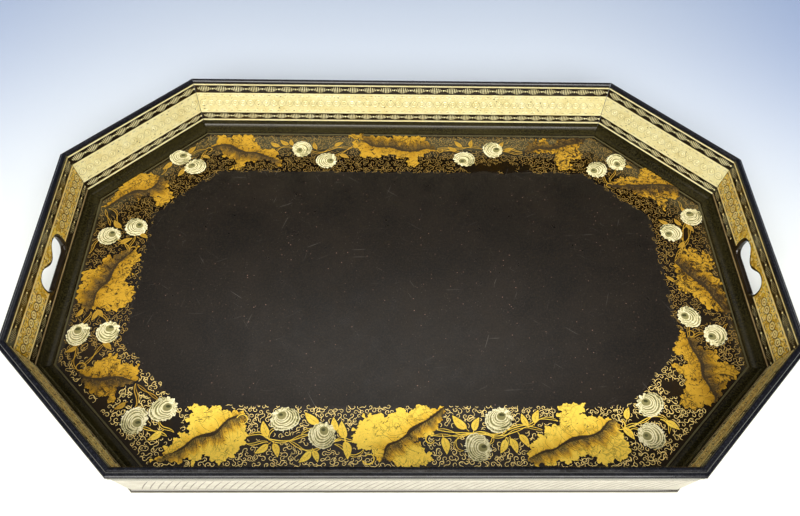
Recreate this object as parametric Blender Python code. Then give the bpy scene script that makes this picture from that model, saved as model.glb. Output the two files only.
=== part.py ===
"""Octagonal japanned gallery tray, in metres, +Z up.

The origin is the centre of the underside. X runs along the length and Y across the width, towards the
back. The tray is a flat floor panel, eight leaning gallery panels that stand in a groove in the floor,
eight lengths of reeded rim moulding rebated over the panels, and eight concave fillets at their foot.
All corners are mitred. The left and the right panel are pierced by a kidney-shaped handhold.
"""

import math

import bmesh
import bpy
from mathutils import Matrix, Vector

# Driving dimensions
HALF_LENGTH = 0.380      # centre to the crest of the rim, along X
HALF_WIDTH = 0.2455      # centre to the crest of the rim, along Y
CORNER_CUT = 0.125       # what the diagonal sides take off each corner, at the crest
TRAY_HEIGHT = 0.072      # underside to the crest of the rim
LEAN = math.radians(10)  # how far the gallery leans outward
GAP = 0.0003             # clearance between touching pieces

# Floor panel
FLOOR_THICKNESS = 0.006
FLOOR_EDGE_INSET = 0.006     # the floor's edge lies this far inside the rim's crest
FLOOR_EDGE_RADIUS = 0.0026
GROOVE_DEPTH = 0.0025

# Gallery panels
PANEL_THICKNESS = 0.007
PANEL_INSET = 0.0145         # inner face to the rim's crest line, at the floor
PANEL_TOP = 0.06225          # height of the panels above the floor, measured up their slope
PANEL_EDGE_RADIUS = 0.0026

# Kidney-shaped handhold, measured in the panel's own plane at its narrowest
HANDHOLD_SHIFT = -0.004      # its middle lies this far along Y, a little nearer the front
HANDHOLD_HALF_LENGTH = 0.0318
HANDHOLD_BOTTOM = 0.0168     # lower edge above the floor
HANDHOLD_TOP = 0.0405        # crest of the two lobes
HANDHOLD_DIP = 0.0309        # dip between the lobes
HANDHOLD_LOBE = 0.0205       # centre to the crest of a lobe
HANDHOLD_FLAT = 0.0232       # half length of the straight lower edge
HANDHOLD_WIDEST = 0.0278     # height of the rounded ends' furthest points

# Rim moulding: two beads and a thin leg down the outside of the panel
RIM_PROUD = 0.0008           # how far the inner bead stands in front of the panel
INNER_BEAD_RADIUS = 0.0029
INNER_BEAD_OUT = -0.0016     # centre of the inner bead, outward from the crest line
OUTER_BEAD_RADIUS = 0.0025
OUTER_BEAD_OUT = 0.0021
OUTER_BEAD_HEIGHT = 0.0661
RIM_LEG_OUT = 0.0033
RIM_LEG_BOTTOM = 0.0606

# Cove fillet
COVE_RISE = 0.0090           # how far it climbs the panel
COVE_TOE = 0.0250            # inset of its toe from the crest line
COVE_FEATHER = 0.0005        # thickness of its two thin edges

ARC_STEPS = 10
LACQUER_BLACK = (0.012, 0.010, 0.009)

# Outward direction of each side in degrees from +X, going round from the right
SIDES = {
    "right": 0,
    "back_right": 45,
    "back": 90,
    "back_left": 135,
    "left": 180,
    "front_left": 225,
    "front": 270,
    "front_right": 315,
}


def crest_distance(side):
    """Distance from the centre to the rim's crest on this side."""
    if side in ("left", "right"):
        return HALF_LENGTH
    if side in ("front", "back"):
        return HALF_WIDTH
    return (HALF_LENGTH + HALF_WIDTH - CORNER_CUT) / math.sqrt(2)


def outward(side):
    """Unit vector that points out of the tray on this side."""
    angle = math.radians(SIDES[side])
    return Vector((math.cos(angle), math.sin(angle), 0))


def corner(side, following, inset=0.0):
    """Where two neighbouring sides meet, this far inside the crest line."""
    first = outward(side)
    second = outward(following)
    along = Vector((-first.y, first.x, 0))
    first_distance = crest_distance(side) - inset
    second_distance = crest_distance(following) - inset
    step = (second_distance - first_distance * first.dot(second)) / along.dot(second)
    return first * first_distance + along * step


def octagon(inset):
    """The tray's outline as eight points, this far inside the crest line."""
    names = list(SIDES)
    return [corner(name, names[(i + 1) % len(names)], inset) for i, name in enumerate(names)]


def on_wall(up, depth):
    """Section point (outward from the crest line, height): up the inner face, then into the panel."""
    out = -PANEL_INSET + up * math.sin(LEAN) + depth * math.cos(LEAN)
    height = FLOOR_THICKNESS + up * math.cos(LEAN) - depth * math.sin(LEAN)
    return out, height


def arc(centre_out, centre_height, radius, start, end):
    """Points along an arc, with its angles in degrees."""
    points = []
    for i in range(ARC_STEPS + 1):
        angle = math.radians(start + (end - start) * i / ARC_STEPS)
        points.append((centre_out + radius * math.cos(angle), centre_height + radius * math.sin(angle)))
    return points


def outline_curve(name, outlines, half_thickness):
    """A filled 2D curve of straight-sided outlines, extruded both ways."""
    data = bpy.data.curves.new(name, "CURVE")
    data.dimensions = "2D"
    data.fill_mode = "BOTH"
    data.extrude = half_thickness
    for outline in outlines:
        spline = data.splines.new("POLY")
        spline.points.add(len(outline) - 1)
        for point, (x, y) in zip(spline.points, outline):
            point.co = (x, y, 0, 1)
        spline.use_cyclic_u = True
    return data


def add_handhold(data, shift):
    """Adds the kidney-shaped opening to a panel's curve, as a hole in the filled outline."""
    lobe_pull = 0.0087
    end_pull = 0.0075
    # position, then the handle that leads out of it, going anticlockwise; handles in are the mirror image
    right_half = [
        ((HANDHOLD_FLAT, HANDHOLD_BOTTOM), (0.0048, 0)),
        ((HANDHOLD_HALF_LENGTH, HANDHOLD_WIDEST), (0, end_pull)),
        ((HANDHOLD_LOBE, HANDHOLD_TOP), (-lobe_pull, 0)),
        ((0, HANDHOLD_DIP), (-lobe_pull, 0)),
    ]
    left_half = [((-x, y), (out_x, -out_y)) for (x, y), (out_x, out_y) in reversed(right_half[:3])]
    spline = data.splines.new("BEZIER")
    spline.bezier_points.add(len(right_half) + len(left_half) - 1)
    for point, ((x, y), (lead_x, lead_y)) in zip(spline.bezier_points, right_half + left_half):
        point.handle_left_type = "FREE"
        point.handle_right_type = "FREE"
        point.co = (x + shift, y, 0)
        point.handle_right = (x + shift + lead_x, y + lead_y, 0)
        point.handle_left = (x + shift - lead_x, y - lead_y, 0)
    spline.use_cyclic_u = True
    spline.resolution_u = 8


def solid_from_curve(name, data, placing):
    """Turns a filled curve into a closed mesh object with welded caps."""
    curve = bpy.data.objects.new(name + "_outline", data)
    tray.objects.link(curve)
    curve.matrix_world = placing
    graph = bpy.context.evaluated_depsgraph_get()
    mesh = bpy.data.meshes.new_from_object(curve.evaluated_get(graph))
    mesh.name = name
    body = bpy.data.objects.new(name, mesh)
    body.matrix_world = placing
    bpy.data.objects.remove(curve)
    shape = bmesh.new()
    shape.from_mesh(mesh)
    bmesh.ops.remove_doubles(shape, verts=shape.verts, dist=0.00001)
    bmesh.ops.recalc_face_normals(shape, faces=shape.faces)
    shape.to_mesh(mesh)
    shape.free()
    return body


def mitre(body, side):
    """Cuts both ends of a length back to the vertical planes that halve the tray's corners."""
    names = list(SIDES)
    place = names.index(side)
    neighbours = (names[place - 1], names[(place + 1) % len(names)])
    to_local = body.matrix_world.inverted()
    shape = bmesh.new()
    shape.from_mesh(body.data)
    for other in neighbours:
        towards = (outward(other) - outward(side)).normalized()
        first, second = (other, side) if other == neighbours[0] else (side, other)
        point = corner(first, second) - towards * GAP / 2
        cut = bmesh.ops.bisect_plane(
            shape,
            geom=shape.verts[:] + shape.edges[:] + shape.faces[:],
            dist=0.000001,
            plane_co=to_local @ point,
            plane_no=to_local.to_3x3() @ towards,
            clear_outer=True,
        )
        edges = [item for item in cut["geom_cut"] if isinstance(item, bmesh.types.BMEdge)]
        bmesh.ops.holes_fill(shape, edges=edges)
    bmesh.ops.recalc_face_normals(shape, faces=shape.faces)
    shape.to_mesh(body.data)
    shape.free()


def finish(body, roughness):
    """Puts a piece in the tray's collection with its own black lacquer, shaded smooth over its curves."""
    material = bpy.data.materials.new(body.name + "_lacquer")
    material.use_nodes = True
    shader = material.node_tree.nodes["Principled BSDF"]
    shader.inputs["Base Color"].default_value = (*LACQUER_BLACK, 1)
    shader.inputs["Roughness"].default_value = roughness
    shader.inputs["Metallic"].default_value = 0.0
    body.data.materials.clear()
    body.data.materials.append(material)
    body.data.shade_smooth()
    body.data.set_sharp_from_angle(angle=math.radians(35))
    tray.objects.link(body)
    body.parent = centre


def section_placing(side):
    """Frame of a section on this side: x outward from the crest line, y up, z along the side."""
    out = outward(side)
    up = Vector((0, 0, 1))
    along = out.cross(up)
    turn = Matrix((out, up, along)).transposed().to_4x4()
    return Matrix.Translation(out * crest_distance(side)) @ turn


def panel_placing(side):
    """Frame of a panel: x along the side, y up the slope from the floor, z outward through the panel."""
    out = outward(side)
    up_slope = out * math.sin(LEAN) + Vector((0, 0, math.cos(LEAN)))
    normal = out * math.cos(LEAN) - Vector((0, 0, math.sin(LEAN)))
    along = up_slope.cross(normal)
    turn = Matrix((along, up_slope, normal)).transposed().to_4x4()
    middle_out, middle_height = on_wall(0, PANEL_THICKNESS / 2)
    middle = out * (crest_distance(side) + middle_out) + Vector((0, 0, middle_height))
    return Matrix.Translation(middle) @ turn


def gallery_panel(side):
    """One mitred side panel; the left and the right one get a handhold."""
    foot_height = FLOOR_THICKNESS - GROOVE_DEPTH + GAP + PANEL_THICKNESS / 2 * math.sin(LEAN)
    foot = (foot_height - on_wall(0, PANEL_THICKNESS / 2)[1]) / math.cos(LEAN)
    reach = HALF_LENGTH
    board = [(-reach, foot), (reach, foot), (reach, PANEL_TOP), (-reach, PANEL_TOP)]
    name = "gallery_panel_" + side
    if side in ("left", "right"):
        data = outline_curve(name, [board], PANEL_THICKNESS / 2 - PANEL_EDGE_RADIUS)
        data.bevel_depth = PANEL_EDGE_RADIUS
        data.offset = -PANEL_EDGE_RADIUS
        data.bevel_resolution = 3
        add_handhold(data, HANDHOLD_SHIFT * outward(side).x)
    else:
        data = outline_curve(name, [board], PANEL_THICKNESS / 2)
    body = solid_from_curve(name, data, panel_placing(side))
    mitre(body, side)
    finish(body, 0.25)


def rim_moulding(side):
    """One mitred length of the reeded rim: its rebate fits over the top of the panel."""
    inner_bead_height = TRAY_HEIGHT - INNER_BEAD_RADIUS
    section = arc(INNER_BEAD_OUT, inner_bead_height, INNER_BEAD_RADIUS, 200, 20)
    section += arc(OUTER_BEAD_OUT, OUTER_BEAD_HEIGHT, OUTER_BEAD_RADIUS, 108, -55)
    leg_face = on_wall(0, PANEL_THICKNESS + GAP)
    leg_foot = leg_face[0] + (RIM_LEG_BOTTOM - leg_face[1]) * math.tan(LEAN)
    section += [(RIM_LEG_OUT, RIM_LEG_BOTTOM), (leg_foot, RIM_LEG_BOTTOM)]
    section += [on_wall(PANEL_TOP + GAP, PANEL_THICKNESS + GAP), on_wall(PANEL_TOP + GAP, -RIM_PROUD)]
    name = "rim_moulding_" + side
    data = outline_curve(name, [section], HALF_LENGTH)
    body = solid_from_curve(name, data, section_placing(side))
    mitre(body, side)
    finish(body, 0.15)


def cove_fillet(side):
    """One mitred length of concave fillet between the floor and the foot of the panel."""
    foot = on_wall(0, -GAP)
    top = on_wall(COVE_RISE, -GAP)
    base = FLOOR_THICKNESS + GAP
    width = COVE_TOE + top[0] - COVE_FEATHER
    rise = top[1] - base - COVE_FEATHER
    section = [(-COVE_TOE, base), (foot[0] + (base - foot[1]) * math.tan(LEAN), base), top]
    for i in range(ARC_STEPS + 1):
        angle = math.radians(90 * (1 - i / ARC_STEPS))
        section.append((-COVE_TOE + width * math.sin(angle), base + COVE_FEATHER + rise * (1 - math.cos(angle))))
    name = "cove_fillet_" + side
    data = outline_curve(name, [section], HALF_LENGTH)
    body = solid_from_curve(name, data, section_placing(side))
    mitre(body, side)
    finish(body, 0.3)


def groove_cutter():
    """Octagonal ring that cuts the housing groove; it reaches above the floor."""
    outer = -on_wall(0, PANEL_THICKNESS)[0] - GAP
    inner = -on_wall(-GROOVE_DEPTH, 0)[0] + GAP
    rings = [[point.xy for point in octagon(inset)] for inset in (outer, inner)]
    data = outline_curve("groove_cutter", rings, GROOVE_DEPTH)
    cutter = solid_from_curve("groove_cutter", data, Matrix.Translation((0, 0, FLOOR_THICKNESS)))
    cutter.hide_render = True
    cutter.display_type = "WIRE"
    cutters.objects.link(cutter)
    return cutter


def floor_panel():
    """The flat floor, with rounded edges and a groove for the gallery."""
    outline = [point.xy for point in octagon(FLOOR_EDGE_INSET)]
    data = outline_curve("floor_panel", [outline], FLOOR_THICKNESS / 2 - FLOOR_EDGE_RADIUS)
    data.bevel_depth = FLOOR_EDGE_RADIUS
    data.offset = -FLOOR_EDGE_RADIUS
    data.bevel_resolution = 3
    body = solid_from_curve("floor_panel", data, Matrix.Translation((0, 0, FLOOR_THICKNESS / 2)))
    groove = body.modifiers.new("groove", "BOOLEAN")
    groove.operation = "DIFFERENCE"
    groove.solver = "EXACT"
    groove.object = groove_cutter()
    finish(body, 0.35)


for old in list(bpy.data.objects):
    bpy.data.objects.remove(old)

tray = bpy.data.collections.new("octagonal_gallery_tray")
cutters = bpy.data.collections.new("cutters")
bpy.context.scene.collection.children.link(tray)
bpy.context.scene.collection.children.link(cutters)
centre = bpy.data.objects.new("tray_centre", None)
tray.objects.link(centre)

floor_panel()
for side_name in SIDES:
    gallery_panel(side_name)
    rim_moulding(side_name)
    cove_fillet(side_name)
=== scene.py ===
"""Looks of the octagonal japanned gallery tray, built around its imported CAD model.

The CAD nodes keep their shapes and get black japan lacquer. The gilt and painted decoration is made here
as thin closed reliefs that lie on them: scrollwork, vine leaves, stems and roses on the floor, and the
gilt bands of the gallery. Decoration is laid out in millimetres: on the floor from the tray's centre,
on a gallery panel from the middle of its foot, along the panel and up its slope.
"""

import math
import random

import bpy
import numpy as np
from mathutils import Euler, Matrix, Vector
from mathutils.geometry import delaunay_2d_cdt


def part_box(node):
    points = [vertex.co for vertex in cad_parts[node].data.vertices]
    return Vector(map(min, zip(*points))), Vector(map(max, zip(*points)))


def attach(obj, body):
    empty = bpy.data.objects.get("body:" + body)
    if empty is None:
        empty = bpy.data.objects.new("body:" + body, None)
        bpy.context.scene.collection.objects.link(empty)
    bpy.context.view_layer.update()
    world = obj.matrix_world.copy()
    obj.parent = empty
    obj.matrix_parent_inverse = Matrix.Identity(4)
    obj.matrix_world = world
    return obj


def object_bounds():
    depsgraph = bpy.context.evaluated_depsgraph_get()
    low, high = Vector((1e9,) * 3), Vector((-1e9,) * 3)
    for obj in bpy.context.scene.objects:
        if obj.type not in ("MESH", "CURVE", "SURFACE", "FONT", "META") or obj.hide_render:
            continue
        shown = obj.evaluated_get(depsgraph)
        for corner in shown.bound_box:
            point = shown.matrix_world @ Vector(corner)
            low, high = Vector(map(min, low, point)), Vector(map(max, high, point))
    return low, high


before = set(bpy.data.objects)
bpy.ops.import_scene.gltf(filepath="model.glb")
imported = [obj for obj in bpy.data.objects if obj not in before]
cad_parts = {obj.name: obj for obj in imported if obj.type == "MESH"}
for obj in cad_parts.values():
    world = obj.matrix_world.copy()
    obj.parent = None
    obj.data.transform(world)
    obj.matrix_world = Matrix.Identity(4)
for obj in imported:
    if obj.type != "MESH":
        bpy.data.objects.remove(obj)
CAD_LOW, CAD_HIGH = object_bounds()

MM = 0.001

# The tray's frame, in metres: its floor and overall size are read from the CAD model's boxes
FLOOR_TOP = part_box("floor_panel")[1].z
RIM_OVERHANG = 0.0046   # the rim moulding stands out this far beyond the crest line
CREST_X = CAD_HIGH.x - RIM_OVERHANG
CREST_Y = CAD_HIGH.y - RIM_OVERHANG
CORNER_CUT = 0.125
PANEL_INSET = 0.0145
PANEL_THICKNESS = 0.007
LEAN = math.radians(10)
TAN_HALF = math.tan(math.radians(22.5))

# The painted border of the floor: half length, half width and diagonal of its two edges, in mm
BORDER_INNER_SIZE = (289, 154.5, 375)
BORDER_OUTER_SIZE = (351, 216.5, 457)

# The direction each side faces, in degrees
SIDES = {
    "right": 0,
    "back_right": 45,
    "back": 90,
    "back_left": 135,
    "left": 180,
    "front_left": 225,
    "front": 270,
    "front_right": 315,
}


# ----------------------------------------
# Plane geometry
# ----------------------------------------

def smooth_curve(points, step):
    """Points about every `step` along a Catmull-Rom curve through the given points."""
    given = np.array(points, float)
    last = len(given) - 1
    curve = []
    for i in range(last):
        a, b, c, d = given[max(i - 1, 0)], given[i], given[i + 1], given[min(i + 2, last)]
        count = max(2, math.ceil(np.linalg.norm(c - b) / step))
        for t in np.arange(count) / count:
            curve.append(0.5 * (2 * b + (c - a) * t + (2 * a - 5 * b + 4 * c - d) * t * t
                                + (3 * b - a - 3 * c + d) * t ** 3))
    curve.append(given[-1])
    return np.array(curve)


def resampled(points, step, closed=False):
    """Points every `step` along the straight stretches between the given points."""
    given = np.array(points, float)
    if closed:
        given = np.vstack((given, given[:1]))
    lengths = np.concatenate(([0], np.cumsum(np.linalg.norm(np.diff(given, axis=0), axis=1))))
    count = max(2, round(lengths[-1] / step))
    at = np.linspace(0, lengths[-1], count + 1)
    if closed:
        at = at[:-1]
    return np.column_stack([np.interp(at, lengths, given[:, axis]) for axis in (0, 1)])


def normals(line):
    """Unit normals to the left of a line."""
    along = np.gradient(line, axis=0)
    along /= np.maximum(np.linalg.norm(along, axis=1, keepdims=True), 1e-9)
    return np.column_stack((-along[:, 1], along[:, 0]))


def signed_area(loop):
    x, y = loop[:, 0], loop[:, 1]
    return 0.5 * float(np.sum(x * np.roll(y, -1) - np.roll(x, -1) * y))


def inside(points, loop):
    """Which points lie inside a closed outline."""
    points = np.asarray(points, float)
    x, y = points[:, 0:1], points[:, 1:2]
    ax, ay = loop[:, 0], loop[:, 1]
    bx, by = np.roll(ax, -1), np.roll(ay, -1)
    rise = np.where(by == ay, 1e-12, by - ay)
    crosses = ((ay > y) != (by > y)) & (x < (bx - ax) * (y - ay) / rise + ax)
    return crosses.sum(axis=1) % 2 == 1


def distance(points, line):
    """Each point's distance to the nearest point of a closely spaced line."""
    points = np.asarray(points, float)
    return np.sqrt(((points[:, None, :] - line[None, :, :]) ** 2).sum(axis=2).min(axis=1))


def toothed(outline, *waves):
    """A closed outline with pointed, uneven teeth that lean along it, from (pitch, depth) waves."""
    step = 0.5
    loop = resampled(outline, step, closed=True)
    if signed_area(loop) < 0:
        loop = loop[::-1]
    chord = np.roll(loop, -2, axis=0) - np.roll(loop, 2, axis=0)
    outward = np.column_stack((chord[:, 1], -chord[:, 0]))
    outward /= np.maximum(np.linalg.norm(outward, axis=1, keepdims=True), 1e-9)
    run = np.arange(len(loop)) * step
    push = np.zeros(len(loop))
    for pitch, depth in waves:
        phase = run / pitch + 0.25 * np.sin(run / (2.3 * pitch))
        tooth = phase % 1
        size = 0.80 + 0.40 * np.sin(2.4 * np.floor(phase))
        push += depth * size * (np.minimum(tooth / 0.62, (1 - tooth) / 0.38) ** 0.8 - 0.5)
    return loop + outward * push[:, None]


def octagon(half_x, half_y, diagonal):
    """Corners of the octagon |x| <= half_x, |y| <= half_y, |x| + |y| <= diagonal, anticlockwise."""
    cut_y, cut_x = diagonal - half_x, diagonal - half_y
    quarter = [(half_x, cut_y), (cut_x, half_y)]
    right = quarter + [(-x, y) for x, y in reversed(quarter)]
    return np.array(right + [(-x, -y) for x, y in right])


# ----------------------------------------
# Surfaces that decoration lies on
# ----------------------------------------

def floor_surface(points):
    """(x, y, height) in mm to a point on the tray's floor, in metres."""
    return points * MM + np.array((0, 0, FLOOR_TOP))


def crest_distance(side):
    """From the tray's centre to the rim's crest line, in metres."""
    angle = SIDES[side]
    if angle % 180 == 0:
        return CREST_X
    if angle % 180 == 90:
        return CREST_Y
    return (CREST_X + CREST_Y - CORNER_CUT) / math.sqrt(2)


def wall_half_length(side, up):
    """Half the length of a panel's inner face, `up` mm up its slope, in mm."""
    angle = SIDES[side]
    if angle % 180 == 0:
        half = CREST_Y - CORNER_CUT
    elif angle % 180 == 90:
        half = CREST_X - CORNER_CUT
    else:
        half = CORNER_CUT / math.sqrt(2)
    inset = PANEL_INSET - up * MM * math.sin(LEAN)
    return (half - inset * TAN_HALF) / MM


def wall_surface(side, outside=False):
    """Maps (along, up, height) in mm to a point on a panel's inner or outer face, in metres."""
    angle = math.radians(SIDES[side])
    out = np.array((math.cos(angle), math.sin(angle), 0))
    along = np.array((out[1], -out[0], 0))
    up = out * math.sin(LEAN) + np.array((0, 0, math.cos(LEAN)))
    inward = -out * math.cos(LEAN) + np.array((0, 0, math.sin(LEAN)))
    middle = np.array((np.sign(round(out[0], 6)) * CREST_X, np.sign(round(out[1], 6)) * CREST_Y, 0))
    if SIDES[side] % 90:
        middle -= np.sign(out) * CORNER_CUT / 2
    foot = middle - out * PANEL_INSET + np.array((0, 0, FLOOR_TOP))
    if outside:
        foot = foot - inward * PANEL_THICKNESS
        along, inward = -along, -inward

    def place(points):
        return foot + MM * (points[:, 0:1] * along + points[:, 1:2] * up + points[:, 2:3] * inward)
    return place


# ----------------------------------------
# Reliefs: thin closed solids gathered into one piece
# ----------------------------------------

SINK = -0.03            # how far a relief's underside lies below its surface, mm
SOFT_EDGE = 0.45        # how high the edge of a spaced film stands, as a share of its height
ROW_GAP = 0.87          # how far apart the rows of a triangular grid are, as a share of its spacing


class Relief:
    """Thin closed solids on one surface. `tone` is a value on every point that the paint follows."""

    def __init__(self, surface):
        self.surface = surface
        self.points = []
        self.faces = []
        self.tones = []
        self.count = 0

    def add(self, points, faces, tone=1.0):
        points = np.asarray(points, float)
        self.points.append(points)
        self.tones.append(np.broadcast_to(np.asarray(tone, float), len(points)))
        self.faces += [tuple(int(i) + self.count for i in face) for face in faces]
        self.count += len(points)

    def ribbon(self, line, width, height, base=0.0, tone=1.0):
        """A brush stroke: a line with a ridged top. Width may change along it."""
        line = np.asarray(line, float)
        count = len(line)
        if count < 2:
            return
        half = normals(line) * (np.broadcast_to(width, count) / 2)[:, None]
        low = np.full((count, 1), base + SINK)
        ridge = np.full((count, 1), base + height)
        left = np.hstack((line + half, low))
        middle = np.hstack((line, ridge))
        right = np.hstack((line - half, low))
        faces = []
        for i in range(count - 1):
            l, m, r = i, count + i, 2 * count + i
            faces += [(l, m, m + 1, l + 1), (m, r, r + 1, m + 1), (r, l, l + 1, r + 1)]
        end = count - 1
        faces += [(0, 2 * count, count), (2 * count + end, end, count + end)]
        self.add(np.vstack((left, middle, right)), faces, tone)

    def dot(self, x, y, radius, height, base=0.0, tone=1.0, sides=10, stretch=1.0):
        """A small domed dot."""
        turn = np.arange(sides) * 2 * math.pi / sides
        ring = np.column_stack((np.cos(turn) * radius * stretch, np.sin(turn) * radius))
        profile = ((1.0, base + SINK), (0.9, base + height * 0.45), (0.5, base + height * 0.9))
        points = [np.column_stack((ring * size + (x, y), np.full(sides, z))) for size, z in profile]
        points.append(np.array([(x, y, base + height)]))
        faces = [tuple(reversed(range(sides)))]
        for i in range(sides):
            j = (i + 1) % sides
            faces += [(i, j, sides + j, sides + i), (sides + i, sides + j, 2 * sides + j, 2 * sides + i),
                      (2 * sides + i, 2 * sides + j, 3 * sides)]
        self.add(np.vstack(points), faces, tone)

    def ring(self, x, y, radius, width, height, base=0.0, tone=1.0, sides=30):
        """A raised ring."""
        turn = np.arange(sides) * 2 * math.pi / sides
        circle = np.column_stack((np.cos(turn), np.sin(turn)))
        profile = ((radius + width / 2, base + SINK), (radius, base + height),
                   (radius - width / 2, base + SINK))
        points = [np.column_stack((circle * r + (x, y), np.full(sides, z))) for r, z in profile]
        faces = []
        for i in range(sides):
            j = (i + 1) % sides
            for k in range(3):
                a, b = k * sides, (k + 1) % 3 * sides
                faces.append((a + i, a + j, b + j, b + i))
        self.add(np.vstack(points), faces, tone)

    def film(self, outline, height, holes=(), spacing=0.0, tone=None, base=0.0):
        """A flat film inside an outline, less its holes; spaced points inside give it a soft edge."""
        loops = [np.asarray(outline, float)] + [np.asarray(hole, float) for hole in holes]

        def within(places):
            found = inside(places, loops[0])
            for hole in loops[1:]:
                found &= ~inside(places, hole)
            return found

        edges, start = [], 0
        for loop in loops:
            edges += [(start + i, start + (i + 1) % len(loop)) for i in range(len(loop))]
            start += len(loop)
        border = np.vstack(loops)
        given = border
        if spacing:
            low, high = loops[0].min(axis=0), loops[0].max(axis=0)
            rows = np.arange(low[1], high[1], spacing * ROW_GAP)
            grid = np.array([(x + spacing / 2 * (row % 2), y) for row, y in enumerate(rows)
                             for x in np.arange(low[0], high[0], spacing)])
            grid = grid[within(grid)]
            if len(grid):
                edge_line = np.vstack([resampled(loop, spacing / 2, closed=True) for loop in loops])
                grid = grid[distance(grid, edge_line) > spacing * 0.45]
                given = np.vstack((border, grid))
        flat, _, triangles, *_ = delaunay_2d_cdt([Vector(p) for p in given], edges, [], 0, 1e-5)
        flat = np.array([tuple(p) for p in flat])
        triangles = np.array(triangles)
        triangles = triangles[within(flat[triangles].mean(axis=1))]
        a, b, c = (flat[triangles[:, k]] for k in range(3))
        turn = (b[:, 0] - a[:, 0]) * (c[:, 1] - a[:, 1]) - (b[:, 1] - a[:, 1]) * (c[:, 0] - a[:, 0])
        triangles[turn < 0] = triangles[turn < 0][:, ::-1]
        directed = {(int(t[k]), int(t[(k + 1) % 3])) for t in triangles for k in range(3)}
        outer = [edge for edge in sorted(directed) if (edge[1], edge[0]) not in directed]
        on_edge = {i for edge in outer for i in edge}
        count = len(flat)
        edge_share = SOFT_EDGE if spacing else 1.0
        level = np.array([base + height * (edge_share if i in on_edge else 1.0) for i in range(count)])
        faces = [tuple(t) for t in triangles]
        faces += [(t[2] + count, t[1] + count, t[0] + count) for t in triangles]
        faces += [(i + count, j + count, j, i) for i, j in outer]
        used = np.zeros(count * 2, bool)
        used[[i for face in faces for i in face]] = True
        renumbered = np.cumsum(used) - 1
        faces = [tuple(renumbered[i] for i in face) for face in faces]
        top = np.column_stack((flat, level))
        under = np.column_stack((flat, np.full(count, base + SINK)))
        values = np.ones(count) if tone is None else tone(flat)
        self.add(np.vstack((top, under))[used], faces, np.concatenate((values, values))[used])

    def make(self, name, material, slot):
        """Makes the piece, which rides on the tray."""
        mesh = bpy.data.meshes.new(name)
        mesh.from_pydata(self.surface(np.vstack(self.points)).tolist(), [], self.faces)
        mesh.update()
        tone = mesh.attributes.new("tone", "FLOAT", "POINT")
        tone.data.foreach_set("value", np.concatenate(self.tones).astype(np.float32))
        mesh.materials.append(material)
        mesh.shade_smooth()
        mesh.set_sharp_from_angle(angle=math.radians(50))
        piece = bpy.data.objects.new(name, mesh)
        bpy.context.scene.collection.objects.link(piece)
        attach(piece, "root")


# ----------------------------------------
# Materials
# ----------------------------------------

# Sockets of a colour mix node
MIX_FACTOR, MIX_FIRST, MIX_SECOND, MIX_RESULT = 0, 6, 7, 2


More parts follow.
